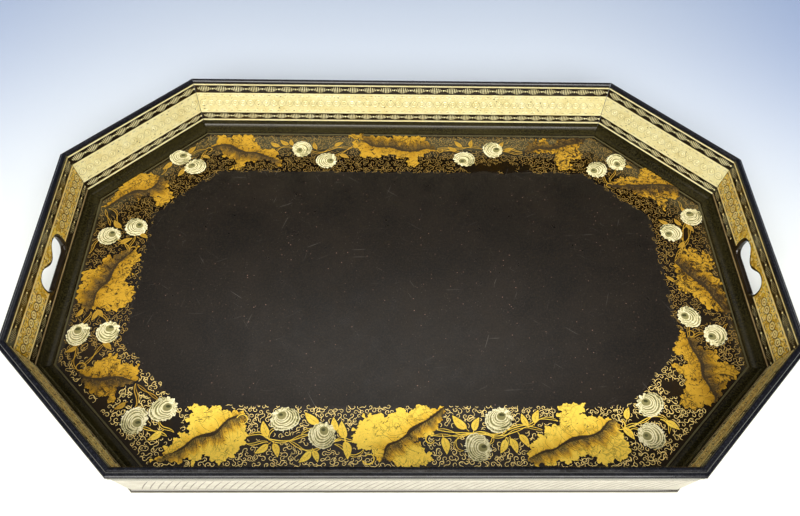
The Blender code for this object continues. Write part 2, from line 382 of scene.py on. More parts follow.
class Shader:
    """One procedural material, whose texture nodes read the object's own coordinates."""

    def __init__(self, name):
        self.material = bpy.data.materials.new(name)
        self.material.use_nodes = True
        self.tree = self.material.node_tree
        self.surface = self.tree.nodes["Principled BSDF"]
        self.place = self.node("ShaderNodeTexCoord").outputs["Object"]

    def node(self, kind, inputs=None, **settings):
        made = self.tree.nodes.new(kind)
        for key, value in settings.items():
            setattr(made, key, value)
        for key, value in (inputs or {}).items():
            self.feed(made.inputs[key], value)
        return made

    def feed(self, socket, value):
        if isinstance(value, bpy.types.NodeSocket):
            self.tree.links.new(value, socket)
        else:
            socket.default_value = value

    def set(self, **values):
        for key, value in values.items():
            self.feed(self.surface.inputs[key.replace("_", " ")], value)

    def noise(self, per_metre, detail=3.0, roughness=0.5, drawn_out=1.0, turn=0.0, distortion=0.0):
        """Noise; where it is drawn out, it is this many times longer along the direction `turn`."""
        place = self.place
        if drawn_out != 1.0:
            place = self.node("ShaderNodeMapping", {"Vector": place, "Scale": (drawn_out, 1, 1),
                                                    "Rotation": (0, 0, turn)},
                              vector_type="TEXTURE").outputs["Vector"]
        made = self.node("ShaderNodeTexNoise", {"Vector": place, "Scale": per_metre, "Detail": detail,
                                                "Roughness": roughness, "Distortion": distortion})
        return made.outputs["Fac"]

    def specks(self, per_metre, size):
        """1 in small round specks that are scattered, and 0 between them."""
        cells = self.node("ShaderNodeTexVoronoi", {"Vector": self.place, "Scale": per_metre})
        return self.ramp(cells.outputs["Distance"], [(size * 0.6, 1.0), (size, 0.0)])

    def crackle(self, per_metre, width):
        """1 along the lines of a bent net of cells, and 0 inside the cells."""
        noise = self.node("ShaderNodeTexNoise", {"Vector": self.place, "Scale": per_metre * 0.7,
                                                 "Detail": 3.0})
        centred = self.node("ShaderNodeVectorMath", {0: noise.outputs["Color"], 1: (0.5, 0.5, 0.5)},
                            operation="SUBTRACT")
        shift = self.node("ShaderNodeVectorMath", {0: centred.outputs[0], "Scale": 2.6 / per_metre},
                          operation="SCALE")
        bent = self.node("ShaderNodeVectorMath", {0: self.place, 1: shift.outputs[0]}, operation="ADD")
        cells = self.node("ShaderNodeTexVoronoi", {"Vector": bent.outputs[0], "Scale": per_metre},
                          feature="DISTANCE_TO_EDGE")
        return self.ramp(cells.outputs["Distance"], [(width * 0.4, 1.0), (width, 0.0)])

    def ramp(self, factor, stops):
        """A value ramp if the stops hold numbers, and a colour ramp if they hold colours."""
        made = self.node("ShaderNodeValToRGB", {"Fac": factor})
        elements = made.color_ramp.elements
        while len(elements) < len(stops):
            elements.new(0.5)
        for element, (at, value) in zip(elements, stops):
            element.position = at
            element.color = (value, value, value, 1) if isinstance(value, float) else (*value, 1)
        return made.outputs["Color"]

    def blend(self, factor, first, second, how="MIX"):
        made = self.node("ShaderNodeMix", data_type="RGBA", blend_type=how)
        for index, value in ((MIX_FACTOR, factor), (MIX_FIRST, first), (MIX_SECOND, second)):
            if isinstance(value, tuple) and len(value) == 3:
                value = (*value, 1)
            self.feed(made.inputs[index], value)
        return made.outputs[MIX_RESULT]

    def both(self, first, second):
        """Two masks multiplied: set only where both of them are."""
        return self.blend(1.0, first, second, "MULTIPLY")

    def either(self, first, second):
        """The greater of two masks at each place."""
        return self.blend(1.0, first, second, "LIGHTEN")

    def maths(self, what, first, second=0.0):
        return self.node("ShaderNodeMath", {0: first, 1: second}, operation=what).outputs[0]

    def tone(self):
        return self.node("ShaderNodeAttribute", attribute_name="tone").outputs["Fac"]

    def bump(self, height, strength, depth_mm):
        bump = self.node("ShaderNodeBump", {"Height": height, "Strength": strength,
                                            "Distance": depth_mm * MM})
        self.set(Normal=bump.outputs["Normal"])


BORDER_EDGE_SOFT = 0.004        # the border's brown ground comes in over this distance, in metres,
BORDER_EDGE_WANDER = 0.012      # and its edge wanders by up to half of this to either side
BORDER_BROWNS = (0.0150, 0.0082, 0.0018), (0.0085, 0.0056, 0.0028)
SCRATCH_GREY = (0.24, 0.22, 0.20)
SCRATCHES = ((0.45, 700), (-0.62, 640), (1.25, 760), (2.10, 690), (0.05, 610))  # turn, number per metre
DUST = ((130, 0.085, (0.26, 0.16, 0.13)), (260, 0.10, (0.13, 0.11, 0.09)))      # per metre, size, colour
BARE_GROUND = (0.022, 0.013, 0.007)     # where gilding is rubbed through
# bright specks in the gilding's grain: painted glints
GOLD_GLINT = (1.0, 0.84, 0.36)


def border_mask(shader):
    """1 over the painted border of the floor and 0 inside it, with an uneven edge."""
    half_x, half_y, diagonal = (size * MM for size in BORDER_INNER_SIZE)
    split = shader.node("ShaderNodeSeparateXYZ", {"Vector": shader.place})
    x, y = (shader.maths("ABSOLUTE", split.outputs[axis]) for axis in ("X", "Y"))
    beyond = shader.maths("MAXIMUM", shader.maths("SUBTRACT", x, half_x),
                          shader.maths("SUBTRACT", y, half_y))
    corner = shader.maths("MULTIPLY", shader.maths("SUBTRACT", shader.maths("ADD", x, y), diagonal), 0.7071)
    beyond = shader.maths("MAXIMUM", beyond, corner)
    wander = shader.maths("MULTIPLY", shader.maths("SUBTRACT", shader.noise(45, detail=4), 0.5),
                          BORDER_EDGE_WANDER)
    beyond = shader.maths("MULTIPLY", shader.maths("ADD", beyond, wander), 1 / BORDER_EDGE_SOFT)
    return shader.ramp(beyond, [(0.0, 0.0), (1.0, 1.0)])


def lacquer(name, black, brown, rough, ripple, varnish, shine, scratched=0.0, dust=0.0, border=False):
    """Black japan over paper board: a brown-black ground, faintly mottled, under rubbed varnish."""
    shader = Shader(name)
    cloud = shader.noise(14, detail=6, roughness=0.62)
    fine = shader.noise(520, detail=4, roughness=0.75)
    colour = shader.blend(shader.ramp(cloud, [(0.36, 0.0), (0.66, 1.0)]), black, brown)
    colour = shader.blend(shader.ramp(fine, [(0.44, 0.0), (0.68, 0.75)]), colour,
                          tuple(value * 2.6 for value in brown))
    if dust:
        for per_metre, size, tint in DUST:
            flecks = shader.both(shader.specks(per_metre, size),
                                 shader.ramp(cloud, [(0.40, dust * 0.1), (0.60, dust)]))
            colour = shader.blend(flecks, colour, tint)
    roughness = shader.ramp(shader.noise(60, detail=5, roughness=0.6),
                            [(0.30, max(rough - 0.07, 0.03)), (0.72, rough + 0.10)])
    if border:
        mask = border_mask(shader)
        ground = shader.blend(shader.ramp(shader.noise(38, detail=4), [(0.40, 0.0), (0.62, 1.0)]),
                              *BORDER_BROWNS)
        colour = shader.blend(mask, colour, ground)
        roughness = shader.blend(mask, roughness, (0.10, 0.10, 0.10))
    height = shader.blend(0.5, shader.noise(26, detail=2), shader.noise(520, detail=3))
    if scratched:
        scratches = None
        for turn, per_metre in SCRATCHES:
            line = shader.ramp(shader.noise(per_metre, detail=1.0, drawn_out=34, turn=turn),
                               [(0.780, 0.0), (0.796, 1.0)])
            scratches = line if scratches is None else shader.either(scratches, line)
        worn = shader.both(scratches, shader.ramp(cloud, [(0.42, 0.0), (0.62, scratched)]))
        colour = shader.blend(worn, colour, SCRATCH_GREY)
        height = shader.blend(worn, height, (0.2, 0.2, 0.2))
    shader.set(Base_Color=colour, Roughness=roughness, Coat_Weight=varnish, Coat_Roughness=0.10, IOR=1.5,
               Specular_IOR_Level=shine)
    shader.bump(height, ripple, 0.12)
    return shader.material


def gilding(name, stops, rough=0.42, metal=0.35, wear=0.35, pits=0.0, use_tone=True, patches=0.0,
            bare_from=0.535, cracks=0.0, grain_and_glint=0.0, shine=0.5):
    """Bronze-powder gilding: warm gold that thins to the black ground where it is rubbed."""
    shader = Shader(name)
    cloud = shader.noise(95, detail=5, roughness=0.65)
    fine = shader.noise(900, detail=3, roughness=0.6)
    shaded = shader.blend(0.42, shader.tone(), cloud, "OVERLAY") if use_tone else cloud
    colour = shader.ramp(shaded, stops)
    colour = shader.blend(shader.ramp(fine, [(0.35, 0.0), (0.70, 0.45)]), colour,
                          tuple(value * 0.62 for value in stops[-1][1]))
    if grain_and_glint:
        coarse = shader.noise(270, detail=4, roughness=0.7)
        colour = shader.blend(shader.ramp(coarse, [(0.40, grain_and_glint), (0.50, 0.0)]), colour, stops[0][1])
        # dark grain, and bright specks that are painted glints
        colour = shader.blend(shader.ramp(coarse, [(0.54, 0.0), (0.64, grain_and_glint)]), colour, GOLD_GLINT)
    rubbed = shader.ramp(shader.noise(620, detail=6, roughness=0.75, distortion=0.4),
                         [(0.63, 0.0), (0.68, wear)])
    rubbed = shader.both(rubbed, shader.ramp(shader.noise(70, detail=3), [(0.40, 0.0), (0.62, 1.0)]))
    if pits:
        rubbed = shader.either(rubbed, shader.both(shader.specks(210, 0.16), (pits, pits, pits)))
    if patches:
        bare = shader.ramp(shader.noise(130, detail=9, roughness=0.74, distortion=1.6),
                           [(bare_from, 0.0), (bare_from + 0.03, patches)])
        rubbed = shader.either(rubbed, bare)
    if cracks:
        net = shader.both(shader.crackle(150, 0.085),
                          shader.ramp(shader.noise(48, detail=3), [(0.44, 0.0), (0.56, cracks)]))
        rubbed = shader.either(rubbed, net)
    colour = shader.blend(rubbed, colour, BARE_GROUND)
    metallic = shader.maths("MULTIPLY", shader.maths("SUBTRACT", 1.0, rubbed), metal)
    roughness = shader.ramp(fine, [(0.30, rough - 0.08), (0.75, rough + 0.14)])
    shader.set(Base_Color=colour, Metallic=metallic, Roughness=roughness, Specular_IOR_Level=shine)
    shader.bump(shader.blend(0.4, fine, cloud), 0.35, 0.06)
    return shader.material


def rose_paint(name):
    """Oil colour in cream over grey-green, laid on in brush strokes."""
    shader = Shader(name)
    bristle = shader.noise(1500, detail=3, roughness=0.6)
    cloud = shader.noise(160, detail=3)
    shaded = shader.blend(0.18, shader.tone(), bristle, "OVERLAY")
    colour = shader.ramp(shaded, [(0.02, (0.010, 0.012, 0.006)), (0.20, (0.085, 0.088, 0.028)),
                                  (0.42, (0.340, 0.305, 0.130)), (0.66, (0.690, 0.630, 0.350)),
                                  (0.95, (0.940, 0.890, 0.650))])
    colour = shader.blend(shader.ramp(cloud, [(0.45, 0.0), (0.80, 0.28)]), colour, (0.50, 0.45, 0.20))
    shader.set(Base_Color=colour, Roughness=shader.ramp(bristle, [(0.3, 0.40), (0.7, 0.60)]),
               Specular_IOR_Level=0.15)
    shader.bump(bristle, 0.5, 0.05)
    return shader.material


def dark_paint(name, dark, middle, light):
    """Line work drawn over the gilding."""
    shader = Shader(name)
    fine = shader.noise(800, detail=4, roughness=0.7)
    colour = shader.ramp(fine, [(0.30, dark), (0.60, middle), (0.85, light)])
    shader.set(Base_Color=colour, Roughness=shader.ramp(fine, [(0.3, 0.40), (0.7, 0.6)]),
               Specular_IOR_Level=0.15)
    shader.bump(fine, 0.3, 0.04)
    return shader.material


# Colours of the gilding and the paint, from the darkest tone to the brightest
LEAF_GOLD = [(0.05, (0.024, 0.016, 0.009)), (0.26, (0.112, 0.074, 0.034)), (0.50, (0.430, 0.225, 0.022)),
             (0.70, (0.760, 0.440, 0.030)), (0.95, (0.980, 0.700, 0.100))]
# Darker gold for the leaves away from the front: partly rubbed gilding, partly painted shade
RUBBED_SHADED_LEAF_GOLD = [(0.05, (0.018, 0.013, 0.008)), (0.30, (0.068, 0.048, 0.026)),
                    (0.56, (0.205, 0.110, 0.014)), (0.76, (0.400, 0.214, 0.013)),
                    (0.95, (0.580, 0.338, 0.032))]
LINE_GOLD = [(0.20, (0.150, 0.082, 0.014)), (0.50, (0.420, 0.250, 0.044)), (0.85, (1.000, 0.770, 0.290))]
STEM_GOLD = [(0.25, (0.800, 0.500, 0.040)), (0.75, (1.000, 0.760, 0.130))]
# Darker gold for the stems and tendrils away from the front: partly rubbed gilding, partly painted shade
RUBBED_SHADED_STEM_GOLD = [(0.25, (0.300, 0.165, 0.018)), (0.75, (0.600, 0.370, 0.050))]
# The gallery's gilt band, pale: a painted highlight for the sides that face the front light
LIT_BAND_GOLD = [(0.30, (0.760, 0.650, 0.270)), (0.50, (0.900, 0.820, 0.410)),
                  (0.72, (0.960, 0.910, 0.540))]
PALE_RELIEF_GOLD = [(0.30, (0.860, 0.770, 0.370)), (0.70, (0.970, 0.920, 0.580))]
# The same gilt band, darker: painted shade for the sides away from the front light
SHADED_BAND_GOLD = [(0.36, (0.400, 0.210, 0.010)), (0.50, (0.880, 0.550, 0.028)),
                  (0.64, (1.000, 0.760, 0.110))]
DEEP_RELIEF_GOLD = [(0.30, (0.950, 0.700, 0.210)), (0.70, (1.000, 0.930, 0.530))]
# The foot line on the sides away from the front light: darker gold, as painted shade
SHADED_FOOT_LINE_GOLD = [(0.30, (0.240, 0.160, 0.070)), (0.70, (0.560, 0.420, 0.200))]
CREAM = [(0.30, (0.350, 0.328, 0.292)), (0.70, (0.520, 0.504, 0.462))]
OLIVE = [(0.25, (0.050, 0.045, 0.018)), (0.75, (0.110, 0.098, 0.042))]

MATERIALS = {
    "floor": lacquer("japan_floor", (0.0016, 0.0012, 0.0008), (0.0090, 0.0064, 0.0043), rough=0.34,
                     ripple=0.20, varnish=0.35, shine=0.50, scratched=0.38, dust=0.9, border=True),
    "gallery": lacquer("japan_gallery", (0.0046, 0.0028, 0.0014), (0.0120, 0.0074, 0.0034), rough=0.16,
                       ripple=0.30, varnish=0.40, shine=0.40),
    # The rim's black is tinted blue: a painted reflection of the cool light round the tray
    "rim": lacquer("japan_rim", (0.0026, 0.0030, 0.0048), (0.0072, 0.0078, 0.0112), rough=0.13,
                   ripple=0.20, varnish=0.0, shine=0.42),
    "cove": lacquer("japan_cove", (0.0044, 0.0038, 0.0010), (0.0160, 0.0132, 0.0040), rough=0.19,
                    ripple=0.24, varnish=0.0, shine=0.24),
    "leaf": gilding("leaf_gilding", LEAF_GOLD, metal=0.10, wear=0.85, patches=0.9, bare_from=0.615,
                    cracks=0.45, shine=0.15),
    "rubbed_shaded_leaf": gilding("rubbed_shaded_leaf_gilding", RUBBED_SHADED_LEAF_GOLD, metal=0.10, wear=0.80, patches=0.97,
                           bare_from=0.55, cracks=0.70, shine=0.15),
    "worn_leaf": gilding("worn_leaf_gilding", RUBBED_SHADED_LEAF_GOLD, metal=0.10, wear=0.90, patches=0.98,
                         bare_from=0.505, cracks=0.85, shine=0.15),
    "line": gilding("line_gilding", LINE_GOLD, metal=0.10, wear=0.25, shine=0.1),
    "stem": gilding("stem_gilding", STEM_GOLD, metal=0.10, wear=0.15, use_tone=False, shine=0.1),
    "rubbed_shaded_stem": gilding("rubbed_shaded_stem_gilding", RUBBED_SHADED_STEM_GOLD, metal=0.10, wear=0.45, use_tone=False,
                           shine=0.1),
    # pale copy of the band's gold, a painted highlight; the darker copy below is painted shade
    "lit_band": gilding("lit_band_gilding", LIT_BAND_GOLD, rough=0.40, metal=0.30, wear=0.55,
                         pits=0.35, use_tone=False),
    "pale_relief": gilding("pale_relief_gilding", PALE_RELIEF_GOLD, rough=0.36, metal=0.30, wear=0.25,
                           use_tone=False),
    # darker copy of the band's gold: painted shade
    "shaded_band": gilding("shaded_band_gilding", SHADED_BAND_GOLD, rough=0.40, metal=0.30, wear=0.90,
                         pits=0.80, use_tone=False, grain_and_glint=0.90, shine=0.2),
    "deep_relief": gilding("deep_relief_gilding", DEEP_RELIEF_GOLD, rough=0.34, metal=0.35, wear=0.45,
                           use_tone=False, shine=0.3),
    # darker gold of the foot line: painted shade
    "foot_line": gilding("shaded_foot_line_gilding", SHADED_FOOT_LINE_GOLD, rough=0.40, metal=0.20, wear=0.8,
                         use_tone=False),
    "olive": gilding("olive_line", OLIVE, rough=0.45, metal=0.10, wear=0.8, use_tone=False),
    "cream": gilding("cream_band_paint", CREAM, rough=0.42, metal=0.05, wear=0.60, use_tone=False),
    "grey_line": dark_paint("grey_line_paint", (0.090, 0.075, 0.078), (0.170, 0.145, 0.142),
                            (0.280, 0.245, 0.235)),
    "rose": rose_paint("rose_oil_paint"),
    "umber": dark_paint("umber_line_paint", (0.016, 0.012, 0.009), (0.045, 0.030, 0.014),
                        (0.160, 0.100, 0.022)),
    "sepia": dark_paint("sepia_line_paint", (0.050, 0.024, 0.004), (0.100, 0.050, 0.007),
                        (0.220, 0.120, 0.018)),
}


def dress_cad_nodes():
    """Puts the lacquers into the CAD nodes' own material slots."""
    kinds = {"floor_panel": "floor", "gallery_panel": "gallery", "rim_moulding": "rim",
             "cove_fillet": "cove"}
    for name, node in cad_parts.items():
        kind = next(kinds[prefix] for prefix in kinds if name.startswith(prefix))
        if not node.material_slots:
            node.data.materials.append(None)
        for material_slot in node.material_slots:
            material_slot.material = MATERIALS[kind]


# ----------------------------------------
# Floor: where the flowers and leaves lie, in mm from the tray's centre
# ----------------------------------------

# Each vine leaf: the fold that runs from its base to its tip, the outline of the half in the light and
# the outline of the half in shade, both from base to tip.
LEAVES = {
    "front_left": (
        [(-155, -163), (-163, -164), (-172, -168), (-178, -175), (-184, -181), (-195, -184),
         (-203, -188), (-210, -195), (-218, -201), (-226, -205)],
        [(-160, -160), (-170, -160), (-179, -158), (-185, -153), (-190, -157), (-203, -153), (-213, -155),
         (-206, -162), (-213, -168), (-208, -173), (-210, -179), (-205, -184), (-212, -183),
         (-217, -181), (-216, -187), (-222, -190), (-221, -195), (-228, -196), (-229, -203)],
        [(-155, -176), (-152, -184), (-153, -192), (-158, -198), (-162, -206), (-170, -209),
         (-174, -214), (-183, -209), (-190, -203), (-194, -209), (-200, -214), (-205, -206),
         (-213, -213), (-222, -210), (-233, -211), (-240, -209)]),
    "front": (
        [(39, -154), (30, -161), (20, -169), (10, -174), (3, -179), (0, -184), (-8, -190), (-16, -193),
         (-20, -198), (-21, -205), (-24, -211)],
        [(27, -158), (22, -155), (16, -152.5), (10, -155), (6, -160), (1, -161), (-4, -154.5), (-9, -160),
         (-15, -163), (-20, -166), (-26, -161), (-30, -165), (-34, -161), (-37, -166), (-41, -163.5),
         (-41, -170), (-46, -171), (-45, -177), (-51, -178), (-48, -183), (-52, -186), (-50, -190),
         (-47, -195), (-43, -199), (-35, -199), (-30, -203), (-28, -209)],
        [(36, -166), (33, -172), (30, -178), (26, -184), (14, -187), (8, -191), (13, -193), (16, -196),
         (18, -202), (24, -203), (25, -209), (21, -213), (11, -216), (-5, -216), (-14, -211), (-19, -208)]),
    "front_right_end": (
        [(203, -168), (198, -170), (193, -175), (188, -180), (180, -184), (170, -185), (160, -187),
         (150, -193), (142, -198), (132, -200), (122, -205), (115, -209)],
        [(197, -167), (183, -165), (172, -163), (176, -159), (178, -151), (168, -152), (160, -151),
         (151, -154), (153, -160), (149, -163), (152, -172), (148, -174), (136, -176), (134, -179),
         (136, -183), (128, -185), (126, -190), (121, -192), (118, -200)],
        [(207, -170), (208, -178), (212, -190), (215, -195), (213, -204), (206, -210), (198, -209),
         (189, -215), (183, -212), (180, -206), (172, -204), (165, -207), (158, -211), (152, -214),
         (146, -208), (142, -213), (135, -216), (130, -212), (122, -215)]),
    "front_right": (
        [(297, -74), (299, -88), (302, -97), (304, -105), (303, -113), (303, -122), (306, -130),
         (308, -138), (310, -144), (308, -150)],
        [(294, -65), (290, -72), (287, -78), (283, -84), (279, -91), (281, -95), (287, -96), (291, -102),
         (291, -107), (283, -109), (274, -105), (277, -113), (281, -118), (286, -121), (284, -128),
         (282, -135), (278, -141), (275, -147), (273, -152), (280, -156), (289, -157), (297, -153)],
        [(300, -74), (305, -75), (308, -80), (306, -84), (313, -90), (324, -91), (325, -98), (322, -105),
         (328, -104), (334, -106), (340, -112), (341, -117), (336, -123), (327, -126), (325, -131),
         (319, -136), (316, -143)]),
    "right": (
        [(305, 22), (312, 12), (318, 3), (324, -4), (330, -10), (334, -18), (338, -27), (342, -36),
         (347, -46)],
        [(304, 17), (304, 5), (303, -1), (301, -8), (303, -16), (308, -19), (315, -20), (319, -25),
         (323, -31), (328, -39), (336, -41), (342, -44)],
        [(312, 33), (320, 40), (326, 43), (333, 42), (334, 33), (336, 31), (341, 39), (345, 33),
         (350, 27), (344, 24), (350, 21), (344, 14), (342, 9), (344, 4), (350, 0), (352, -5), (347, -10),
         (350, -15), (352, -25), (349, -35), (351, -44)]),
    "back_right": (
        [(248, 139), (262, 137), (280, 138), (300, 139), (318, 139), (334, 135)],
        [(258, 143), (262, 147), (266, 151), (272, 149), (279, 152), (283, 149), (288, 151), (291, 160),
         (296, 166), (303, 163), (309, 157), (315, 150), (323, 144)],
        [(250, 133), (258, 133), (266, 131), (276, 130), (278, 124), (286, 117), (294, 120), (301, 115),
         (304, 108), (310, 98), (314, 110), (316, 119), (322, 116), (328, 116), (331, 122), (333, 129)]),
    "back_right_end": (
        [(158, 190), (170, 196), (182, 195), (195, 198), (207, 203), (218, 206), (230, 210)],
        [(186, 190), (193, 187), (189, 181), (187, 177), (192, 171), (191, 163), (196, 160), (203, 163),
         (211, 161), (209, 170), (206, 176), (210, 180), (216, 179), (222, 181), (224, 190), (220, 195),
         (222, 200)],
        [(152, 190), (154, 195), (158, 201), (160, 208), (165, 206), (168, 213), (172, 208), (178, 215),
         (182, 214), (183, 206), (190, 204), (196, 210), (199, 215), (204, 213), (212, 214), (218, 217),
         (226, 215), (232, 212)]),
    "back": (
        [(-45, 207), (-38, 199), (-25, 197), (-12, 196), (-3, 192), (8, 190), (20, 191), (30, 195),
         (43, 193)],
        [(-62, 208), (-61, 200), (-57, 195), (-52, 193), (-51, 186), (-52, 180), (-40, 181), (-30, 179),
         (-25, 183), (-10, 186), (-5, 178), (4, 180), (9, 181), (6, 172), (8, 165), (18, 166), (20, 172),
         (18, 180), (25, 183), (30, 188)],
        [(-66, 214), (-65, 220), (-57, 218), (-50, 221), (-45, 214), (-38, 218), (-32, 214), (-25, 217),
         (-18, 214), (-12, 212), (-10, 217), (-2, 217), (6, 216), (12, 215), (16, 217), (22, 216),
         (28, 215), (30, 210), (35, 203), (42, 197)]),
    "back_left_end": (
        [(-240, 193), (-232, 197), (-222, 200), (-212, 199), (-205, 194), (-198, 190), (-190, 187),
         (-180, 187), (-172, 183), (-160, 178)],
        [(-233, 199), (-230, 206), (-231, 213), (-226, 216), (-221, 215), (-217, 210), (-210, 215),
         (-206, 217), (-199, 214), (-195, 217), (-190, 216), (-186, 215), (-184, 209), (-182, 202),
         (-178, 199), (-175, 193), (-168, 191), (-162, 193), (-155, 190), (-152, 183)],
        [(-230, 192), (-222, 189), (-220, 180), (-215, 178), (-208, 176), (-203, 173), (-203, 165),
         (-210, 158), (-200, 158), (-196, 160), (-193, 165), (-190, 172), (-182, 171), (-175, 173),
         (-168, 175), (-160, 172), (-155, 167), (-149, 162), (-147, 170), (-151, 177)]),
    "back_left": (
        [(-345, 97), (-335, 108), (-325, 118), (-315, 124), (-305, 124), (-298, 128), (-293, 136),
         (-291, 146)],
        [(-350, 97), (-343, 104), (-340, 113), (-337, 122), (-334, 130), (-330, 136), (-328, 145),
         (-324, 149), (-318, 151), (-313, 150), (-306, 150), (-298, 149)],
        [(-340, 100), (-330, 109), (-322, 116), (-316, 115), (-310, 108), (-305, 116), (-299, 120),
         (-297, 115), (-291, 110), (-288, 102), (-283, 98), (-276, 106), (-270, 112), (-272, 119),
         (-276, 124), (-281, 126), (-278, 131), (-280, 137), (-286, 142)]),
    "left": (
        [(-305, 30), (-311, 22), (-316, 13), (-318, 5), (-319, -4), (-322, -10), (-327, -16), (-330, -24),
         (-330, -33), (-331, -42)],
        [(-297, 41), (-300, 34), (-292, 28), (-293, 20), (-298, 15), (-300, 8), (-296, 3), (-300, 0),
         (-304, -3), (-300, -12), (-292, -14), (-290, -22), (-292, -33), (-298, -40), (-305, -44),
         (-313, -45), (-322, -40)],
        [(-303, 38), (-310, 36), (-318, 30), (-322, 25), (-328, 28), (-332, 24), (-333, 14), (-340, 8),
         (-347, 8), (-351, 4), (-350, -3), (-348, -10), (-351, -14), (-350, -24), (-350, -31),
         (-345, -35), (-340, -41), (-335, -46)]),
    "front_left_end": (
        [(-328, -117), (-320, -122), (-310, -124), (-298, -123), (-288, -122), (-280, -124),
         (-268, -128)],
        [(-320, -112), (-316, -113), (-311, -104), (-305, -103), (-301, -96), (-297, -99), (-294, -97),
         (-291, -103), (-286, -108), (-279, -107), (-275, -111), (-269, -109), (-268, -118)],
        [(-325, -121), (-320, -129), (-317, -134), (-311, -139), (-305, -143), (-299, -145), (-293, -142),
         (-291, -149), (-286, -152), (-285, -145), (-287, -138), (-284, -133), (-275, -131)]),
}

# Roses in pairs: the centre of each, and which way its dark eye lies from there, in degrees
ROSE_RADIUS = 13.0
SMALLER_ROSE = 0.93
ROSES = {
    "front_left_end": ((-262, -170, -31), (-236, -158, 22)),
    "front_left": ((-117, -168, 135), (-80, -185, 74)),
    "front_right": ((91, -169, 56), (69, -197, 0)),
    "front_right_end": ((243, -152, 153), (238, -185, 188)),
    "right_front": ((305, -50, 164), (328, -72, 207)),
    "right_back": ((310, 65, 217), (339, 88, 101)),
    "back_right_end": ((239, 162, 202), (265, 175, 279)),
    "back_right": ((113, 194, 0), (77, 178, 233)),
    "back_left": ((-93, 174, -9), (-124, 193, 225)),
    "back_left_end": ((-272, 177, 37), (-251, 162, 162)),
    "left_back": ((-333, 55, 39), (-305, 68, 31)),
    "left_front": ((-338, -74, 98), (-308, -71, 68)),
}

# Leaflets, from tip to base
LEAFLETS = {
    "front": [((-98, -161), (-84, -173)), ((-101, -212), (-90, -201)), ((-83, -212), (-88, -200)),
              ((-62, -170), (-58, -188)), ((-55, -209), (-58, -191)), ((-138, -170), (-132, -186)),
              ((-121, -207), (-126, -193)), ((-143, -203), (-131, -194)), ((-246, -190), (-234, -181)),
              ((46, -164), (59, -178)), ((39, -204), (36, -187)), ((72, -166), (66, -180)),
              ((90, -203), (96, -189)), ((114, -162), (119, -175)), ((131, -158), (126, -172)),
              ((106, -203), (101, -188)), ((221, -189), (212, -177)), ((221, -155), (217, -168)),
              ((267, -179), (255, -170)), ((-70, -166), (-66, -180)), ((118, -197), (110, -184))],
    "left": [((-290, 157), (-281, 169)), ((-270, 146), (-265, 158)), ((-255, 196), (-262, 184)),
             ((-306, 52), (-318, 44)), ((-328, -57), (-325, -45)), ((-346, -53), (-340, -43)),
             ((-317, -53), (-326, -44)), ((-346, -95), (-336, -88)), ((-284, -158), (-274, -151)),
             ((-332, 78), (-322, 67)), ((-289, 52), (-299, 58)), ((-300, -92), (-310, -84))],
    "back": [((-65, 178), (-77, 184)), ((-73, 205), (-84, 198)), ((-152, 208), (-141, 200)),
             ((-139, 210), (-136, 199)), ((-164, 204), (-152, 197)), ((66, 209), (75, 199)),
             ((88, 211), (86, 199)), ((140, 197), (128, 192)), ((128, 208), (122, 197)),
             ((57, 199), (68, 192)), ((-110, 205), (-106, 193)), ((-235, 176), (-245, 180))],
    "right": [((299, 84), (309, 78)), ((337, 66), (330, 77)), ((313, 43), (322, 51)),
              ((291, 4), (299, -2)), ((284, 165), (275, 168)), ((330, 104), (334, 95)),
              ((318, 86), (324, 76))],
}

